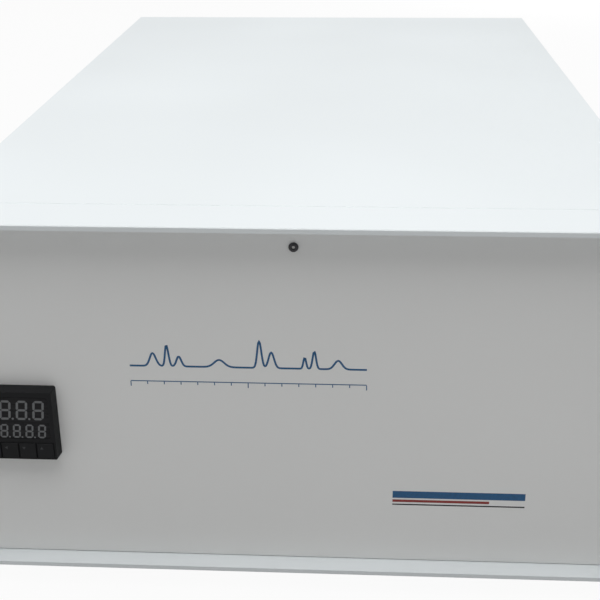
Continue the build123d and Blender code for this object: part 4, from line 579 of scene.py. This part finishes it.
class SPECTRO_OT_prints(bpy.types.Operator):
    """A made-up spectrum and a plain stripe printed on the front panel"""
    bl_idname = "spectro.prints"
    bl_label = "Panel prints"

    def execute(self, context):
        sizes = context.scene.spectrometer
        y = PANEL_FACE_Y
        shape = bmesh.new()
        made = bmesh.ops.create_grid(shape, x_segments=TRACE_STEPS, y_segments=1, size=0.5)["verts"]
        width = TRACE_RIGHT - TRACE_LEFT
        for vert in made:
            share = vert.co.x + 0.5
            side = 1.0 if vert.co.y > 0 else -1.0
            step = 0.5 / TRACE_STEPS
            climb = (trace_height(share + step) - trace_height(share - step)) * TRACE_TALL
            slope = climb / (2 * step * width)
            lean = 1.0 / math.hypot(1.0, slope)
            half = side * sizes.trace_width / 2
            vert.co = (TRACE_LEFT + share * width - half * slope * lean, y,
                       TRACE_Z + trace_height(share) * TRACE_TALL + half * lean)
        grown = bmesh.ops.extrude_face_region(shape, geom=list(shape.faces))["geom"]
        bmesh.ops.translate(shape, vec=(0, -PRINT_RISE, 0),
                            verts=[item for item in grown if isinstance(item, bmesh.types.BMVert)])
        finish_piece("printed_trace", shape, "blue_ink", "case")
        shape = bmesh.new()
        add_box(shape, (TRACE_LEFT, y - PRINT_RISE, AXIS_Z), (TRACE_RIGHT, y, AXIS_Z + AXIS_LINE))
        for index in range(TICK_COUNT):
            x = TRACE_LEFT + width * index / (TICK_COUNT - 1)
            tall = LONG_TICK if index % TICKS_PER_LONG == 0 else SHORT_TICK
            add_box(shape, (x - AXIS_LINE / 2, y - PRINT_RISE, AXIS_Z - tall),
                    (x + AXIS_LINE / 2, y, AXIS_Z - AXIS_LINE / 8))
        finish_piece("printed_scale", shape, "blue_ink", "case")
        for name, ink_name, drop, tall, short in STRIPES:
            shape = bmesh.new()
            low = STRIPE_Z - drop
            add_box(shape, (STRIPE_LEFT, y - PRINT_RISE, low), (STRIPE_RIGHT - short, y, low + tall))
            finish_piece(name, shape, ink_name, "case")
        return {"FINISHED"}


SCREW_FACE_Y = REAR_FACE_Y - 0.0001
SCREW_APART = 0.008
CROSS_REACH_SHARE = 0.62
CROSS_BLADE_SHARE = 0.16


def painted_recess_shade_cross(shape, centre, radius, depth):
    """Two crossed bars of shade that read as a cross recess in a screw head."""
    x, y, z = centre
    reach = radius * CROSS_REACH_SHARE
    blade = radius * CROSS_BLADE_SHARE
    for wide, tall in ((reach, blade), (blade, reach)):
        add_box(shape, (x - wide, y, z - tall), (x + wide, y + depth, z + tall))


class SPECTRO_OT_screws(bpy.types.Operator):
    """Painted shade of cross recesses on the rear screws"""
    bl_idname = "spectro.screws"
    bl_label = "Screw details"

    def execute(self, context):
        heads = []
        for vert in FRAME_NODES["case_screws"].data.vertices:
            if vert.co.y < SCREW_FACE_Y:
                continue
            near = [head for head in heads
                    if math.hypot(head[0].x - vert.co.x, head[0].z - vert.co.z) < SCREW_APART]
            if near:
                near[0].append(vert.co.copy())
            else:
                heads.append([vert.co.copy()])
        shape = bmesh.new()
        for points in heads:
            low_x = min(point.x for point in points)
            high_x = max(point.x for point in points)
            low_z = min(point.z for point in points)
            high_z = max(point.z for point in points)
            top = max(point.y for point in points)
            centre = ((low_x + high_x) / 2, top, (low_z + high_z) / 2)
            # dark bars on each head: painted shade standing in for a cross recess
            painted_recess_shade_cross(shape, centre, (high_x - low_x) / 2, PRINT_RISE)
        finish_piece("painted_screw_recess_shade", shape, "chip_black", "case")
        return {"FINISHED"}


MARK_SHARE = 0.55
MARK_INNER = 0.0014
MARK_OUTER = 0.0021
MARK_HALF_WIDTH = 0.00045
MARK_RISE = 0.00012


def rocker_half(side):
    """A point on one half of the rocker's face and the way that half looks."""
    low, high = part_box("power_switch")
    across = (high.x - low.x) / 2
    centre = (low + high) / 2
    start = Vector((centre.x + side * across * MARK_SHARE, high.y + across, centre.z))
    mesh = FRAME_NODES["power_switch"].data
    face = BVHTree.FromPolygons([vert.co for vert in mesh.vertices],
                                [polygon.vertices[:] for polygon in mesh.polygons])
    point, normal, _, _ = face.ray_cast(start, Vector((0, -1, 0)))
    return point, normal


BLADE_SLEEVE = 0.00008
BLADE_PLACES = ((-0.007, -0.002), (0.0, 0.002), (0.007, -0.002))
BLADE_HALF_WIDTH = 0.001
BLADE_HALF_TALL = 0.002
BLADE_ROOT = 0.0159
BLADE_TIP = 0.005


class SPECTRO_OT_inlet(bpy.types.Operator):
    """Metal blades in the mains inlet and the marks on its switch"""
    bl_idname = "spectro.inlet"
    bl_label = "Inlet blades and switch marks"

    def execute(self, context):
        low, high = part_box("mains_inlet")
        centre_x = (low.x + high.x) / 2
        centre_z = (low.z + high.z) / 2
        wide = BLADE_HALF_WIDTH + BLADE_SLEEVE
        tall = BLADE_HALF_TALL + BLADE_SLEEVE
        shape = bmesh.new()
        for dx, dz in BLADE_PLACES:
            x = centre_x + dx
            z = centre_z + dz
            add_box(shape, (x - wide, high.y - BLADE_ROOT, z - tall),
                    (x + wide, high.y - BLADE_TIP + BLADE_SLEEVE, z + tall))
        finish_piece("inlet_blades", shape, "bright_screws", "case")
        shape = bmesh.new()
        for side in (-1, 1):
            middle, normal = rocker_half(side)
            if side < 0:
                add_ring(shape, middle, normal, MARK_INNER, MARK_OUTER, MARK_RISE * 2)
            else:
                turn = Vector((0, 1, 0)).rotation_difference(normal).to_matrix().to_4x4()
                bar = add_box(shape, (-MARK_HALF_WIDTH, -MARK_RISE, -MARK_OUTER),
                              (MARK_HALF_WIDTH, MARK_RISE, MARK_OUTER))
                bmesh.ops.transform(shape, matrix=Matrix.Translation(middle) @ turn, verts=bar)
        finish_piece("switch_marks", shape, "white_ink", "rocker")
        return {"FINISHED"}


STRAP_SHARES = (0.15, 0.5, 0.85)
STRAP_WIDTH = 0.012
STRAP_THICKNESS = 0.0009
STRAP_SINK = 0.0002
STRAP_SEGMENTS = 96
BUCKLE_TURN = math.radians(38)
BUCKLE_HALF_WIDTH = 0.007
BUCKLE_LENGTH_SHARE = 0.62
BUCKLE_THICKNESS_SHARE = 2.4


class SPECTRO_OT_jacket(bpy.types.Operator):
    """Straps and buckles round the heating jacket"""
    bl_idname = "spectro.jacket"
    bl_label = "Jacket straps"

    def execute(self, context):
        low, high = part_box("heating_jacket")
        centre = (low + high) / 2
        radius = (high.x - low.x) / 2
        straps = bmesh.new()
        buckles = bmesh.new()
        for share in STRAP_SHARES:
            y = low.y + (high.y - low.y) * share
            spot = Vector((centre.x, y, centre.z))
            add_ring(straps, spot, (0, 1, 0), radius - STRAP_SINK, radius + STRAP_THICKNESS, STRAP_WIDTH,
                     STRAP_SEGMENTS)
            half = STRAP_WIDTH * BUCKLE_LENGTH_SHARE
            buckle = add_box(buckles, (-BUCKLE_HALF_WIDTH, -half, radius),
                             (BUCKLE_HALF_WIDTH, half, radius + STRAP_THICKNESS * BUCKLE_THICKNESS_SHARE))
            matrix = Matrix.Translation(spot) @ Matrix.Rotation(-BUCKLE_TURN, 4, "Y")
            bmesh.ops.transform(buckles, matrix=matrix, verts=buckle)
        finish_piece("jacket_straps", straps, "strap_cloth", "case")
        finish_piece("jacket_buckles", buckles, "hinge_steel", "case")
        return {"FINISHED"}


BOARD_TOP_RISE = 0.0116
CHIP_ROWS = 3
CHIP_COLUMNS = 7
CHIP_START_X = 0.078
CHIP_PITCH_X = 0.008
CHIP_START_Y = 0.046
CHIP_PITCH_Y = 0.005
CHIP_WANDER = 0.001
CHIP_SEED = 7
CHIP_EDGE = 0.03
CHIP_SIZE = (0.0045, 0.0026, 0.0012)
CAN_COUNT = 4
CAN_START_X = 0.150
CAN_PITCH = 0.0095
CAN_ROW_Y = 0.055
CAN_RADIUS = 0.004
CAN_TALL = 0.012
CAN_SEGMENTS = 20


class SPECTRO_OT_electronics(bpy.types.Operator):
    """Chips and capacitors on the main board"""
    bl_idname = "spectro.electronics"
    bl_label = "Board parts"

    def execute(self, context):
        low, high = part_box("main_board")
        top = low.z + BOARD_TOP_RISE
        rng = random.Random(CHIP_SEED)
        chips = bmesh.new()
        for row in range(CHIP_ROWS):
            for column in range(CHIP_COLUMNS):
                wander = rng.uniform(-CHIP_WANDER, CHIP_WANDER)
                x = low.x + CHIP_START_X + column * CHIP_PITCH_X + wander
                y = low.y + CHIP_START_Y + row * CHIP_PITCH_Y
                if x < high.x - CHIP_EDGE:
                    corner = Vector((x, y, top))
                    add_box(chips, corner, corner + Vector(CHIP_SIZE))
        finish_piece("board_chips", chips, "chip_black", "case")
        cans = bmesh.new()
        for column in range(CAN_COUNT):
            x = low.x + CAN_START_X + column * CAN_PITCH
            add_upright_disc(cans, Vector((x, low.y + CAN_ROW_Y, top + CAN_TALL / 2)), CAN_RADIUS, CAN_TALL,
                             CAN_SEGMENTS)
        finish_piece("board_capacitors", cans, "laser_housing", "case")
        return {"FINISHED"}


# Stage
def aim_camera(camera):
    """Turn the camera to the measured yaw, pitch and roll."""
    yaw, pitch, roll = (math.radians(value) for value in (CAMERA_YAW, CAMERA_PITCH, CAMERA_ROLL))
    forward = Vector((math.sin(yaw) * math.cos(pitch), math.cos(yaw) * math.cos(pitch), -math.sin(pitch)))
    right = Vector((math.cos(yaw), -math.sin(yaw), 0.0))
    up = right.cross(forward)
    turned_right = math.cos(roll) * right + math.sin(roll) * up
    turned_up = -math.sin(roll) * right + math.cos(roll) * up
    matrix = Matrix((turned_right, turned_up, -forward)).transposed().to_4x4()
    matrix.translation = Vector(CAMERA_PLACE)
    camera.matrix_world = matrix


FLOOR_GLOW = 0.95
FLOOR_HALF_SIDE = 12.0


def pale_floor_material():
    """Pale floor that looks white to the eye and keeps a soft shadow."""
    material, tree, shader, place = new_material("pale_floor")
    tone = noise(tree, place, 2.0, 2.0)
    tree.links.new(ramp(tree, tone, (0.50, 0.50, 0.50), (0.52, 0.52, 0.52)), shader.inputs["Base Color"])
    shader.inputs["Roughness"].default_value = 0.9
    glow = add_node(tree, "ShaderNodeEmission", Color=(1, 1, 1, 1), Strength=1.0)
    path = tree.nodes.new("ShaderNodeLightPath")
    share = tree.nodes.new("ShaderNodeMath")
    share.operation = "MULTIPLY"
    share.inputs[1].default_value = FLOOR_GLOW
    mix = tree.nodes.new("ShaderNodeMixShader")
    tree.links.new(path.outputs["Is Camera Ray"], share.inputs[0])
    tree.links.new(share.outputs["Value"], mix.inputs["Fac"])
    tree.links.new(shader.outputs["BSDF"], mix.inputs[1])
    tree.links.new(glow.outputs["Emission"], mix.inputs[2])
    tree.links.new(mix.outputs["Shader"], tree.nodes["Material Output"].inputs["Surface"])
    return material


WORLD_LIGHT = 0.29
# Each lamp's name, place, target, size, power, and whether reflections show it
LAMPS = (
    ("overhead", (-0.1, -0.35, 2.5), (0.0, -0.1, 0.1), 3.2, 64.0, True),
    ("left_fill", (-2.2, 0.2, 1.4), (0.0, 0.0, 0.1), 1.2, 5.0, True),
    ("rear_fill", (0.6, 2.4, 0.35), (0.0, 0.0, 0.13), 0.6, 12.0, False),
)


class SPECTRO_OT_stage(bpy.types.Operator):
    """Pale floor, soft studio light and the camera"""
    bl_idname = "spectro.stage"
    bl_label = "Stage, light and camera"

    def execute(self, context):
        scene = context.scene
        floor_mesh = bpy.data.meshes.new("floor")
        shape = bmesh.new()
        bmesh.ops.create_grid(shape, x_segments=1, y_segments=1, size=FLOOR_HALF_SIDE)
        shape.to_mesh(floor_mesh)
        shape.free()
        floor = bpy.data.objects.new("floor", floor_mesh)
        scene.collection.objects.link(floor)
        floor_mesh.materials.append(pale_floor_material())

        world = bpy.data.worlds.new("studio")
        scene.world = world
        world.use_nodes = True
        tree = world.node_tree
        backdrop = tree.nodes["Background"]
        backdrop.inputs["Color"].default_value = (1, 1, 1, 1)
        path = tree.nodes.new("ShaderNodeLightPath")
        seen = tree.nodes.new("ShaderNodeMath")
        seen.operation = "MAXIMUM"
        tree.links.new(path.outputs["Is Camera Ray"], seen.inputs[0])
        tree.links.new(path.outputs["Is Transmission Ray"], seen.inputs[1])
        level = add_node(tree, "ShaderNodeMapRange", To_Min=WORLD_LIGHT, To_Max=1.0)
        tree.links.new(seen.outputs["Value"], level.inputs["Value"])
        tree.links.new(level.outputs["Result"], backdrop.inputs["Strength"])

        for name, place, target, size, power, in_reflections in LAMPS:
            lamp_data = bpy.data.lights.new(name, "AREA")
            lamp_data.shape = "DISK"
            lamp_data.size = size
            lamp_data.energy = power
            lamp = bpy.data.objects.new(name, lamp_data)
            scene.collection.objects.link(lamp)
            lamp.location = place
            lamp.visible_glossy = in_reflections
            direction = Vector(target) - Vector(place)
            lamp.rotation_euler = direction.to_track_quat("-Z", "Y").to_euler()

        camera_data = bpy.data.cameras.new("camera")
        camera_data.sensor_width = SENSOR
        camera_data.lens = SENSOR * FOCAL_PIXELS / IMAGE_SIDE
        camera_data.clip_end = CAMERA_REACH
        camera = bpy.data.objects.new("camera", camera_data)
        scene.collection.objects.link(camera)
        aim_camera(camera)
        scene.camera = camera
        scene.view_settings.view_transform = "Standard"
        return {"FINISHED"}


class SPECTRO_OT_finishes(bpy.types.Operator):
    """Make the finishes and dress every CAD piece"""
    bl_idname = "spectro.finishes"
    bl_label = "Finishes"

    def execute(self, context):
        build_materials(context.scene.spectrometer)
        dress_nodes()
        return {"FINISHED"}


OPERATORS = (
    SPECTRO_OT_finishes, SPECTRO_OT_display, SPECTRO_OT_keys, SPECTRO_OT_prints, SPECTRO_OT_screws,
    SPECTRO_OT_inlet, SPECTRO_OT_jacket, SPECTRO_OT_electronics, SPECTRO_OT_stage,
)


class SPECTRO_PT_panel(bpy.types.Panel):
    """Lists the spectrometer's sizes and steps"""
    bl_idname = "SPECTRO_PT_panel"
    bl_label = "Spectrometer"
    bl_space_type = "VIEW_3D"
    bl_region_type = "UI"
    bl_category = "Spectrometer"

    def draw(self, context):
        sizes = context.scene.spectrometer
        for name in SpectrometerSizes.__annotations__:
            self.layout.prop(sizes, name)
        for operator in OPERATORS:
            self.layout.operator(operator.bl_idname)


CLASSES = (SpectrometerSizes, *OPERATORS, SPECTRO_PT_panel)


def register():
    """Register the classes and the scene's property group."""
    for cls in CLASSES:
        bpy.utils.register_class(cls)
    bpy.types.Scene.spectrometer = bpy.props.PointerProperty(type=SpectrometerSizes)


def unregister():
    """Remove what register added."""
    del bpy.types.Scene.spectrometer
    for cls in reversed(CLASSES):
        bpy.utils.unregister_class(cls)


def main():
    """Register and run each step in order."""
    register()
    bpy.ops.spectro.finishes()
    bpy.ops.spectro.display()
    bpy.ops.spectro.keys()
    bpy.ops.spectro.prints()
    bpy.ops.spectro.screws()
    bpy.ops.spectro.inlet()
    bpy.ops.spectro.jacket()
    bpy.ops.spectro.electronics()
    bpy.ops.spectro.stage()


if __name__ == "__main__":
    main()
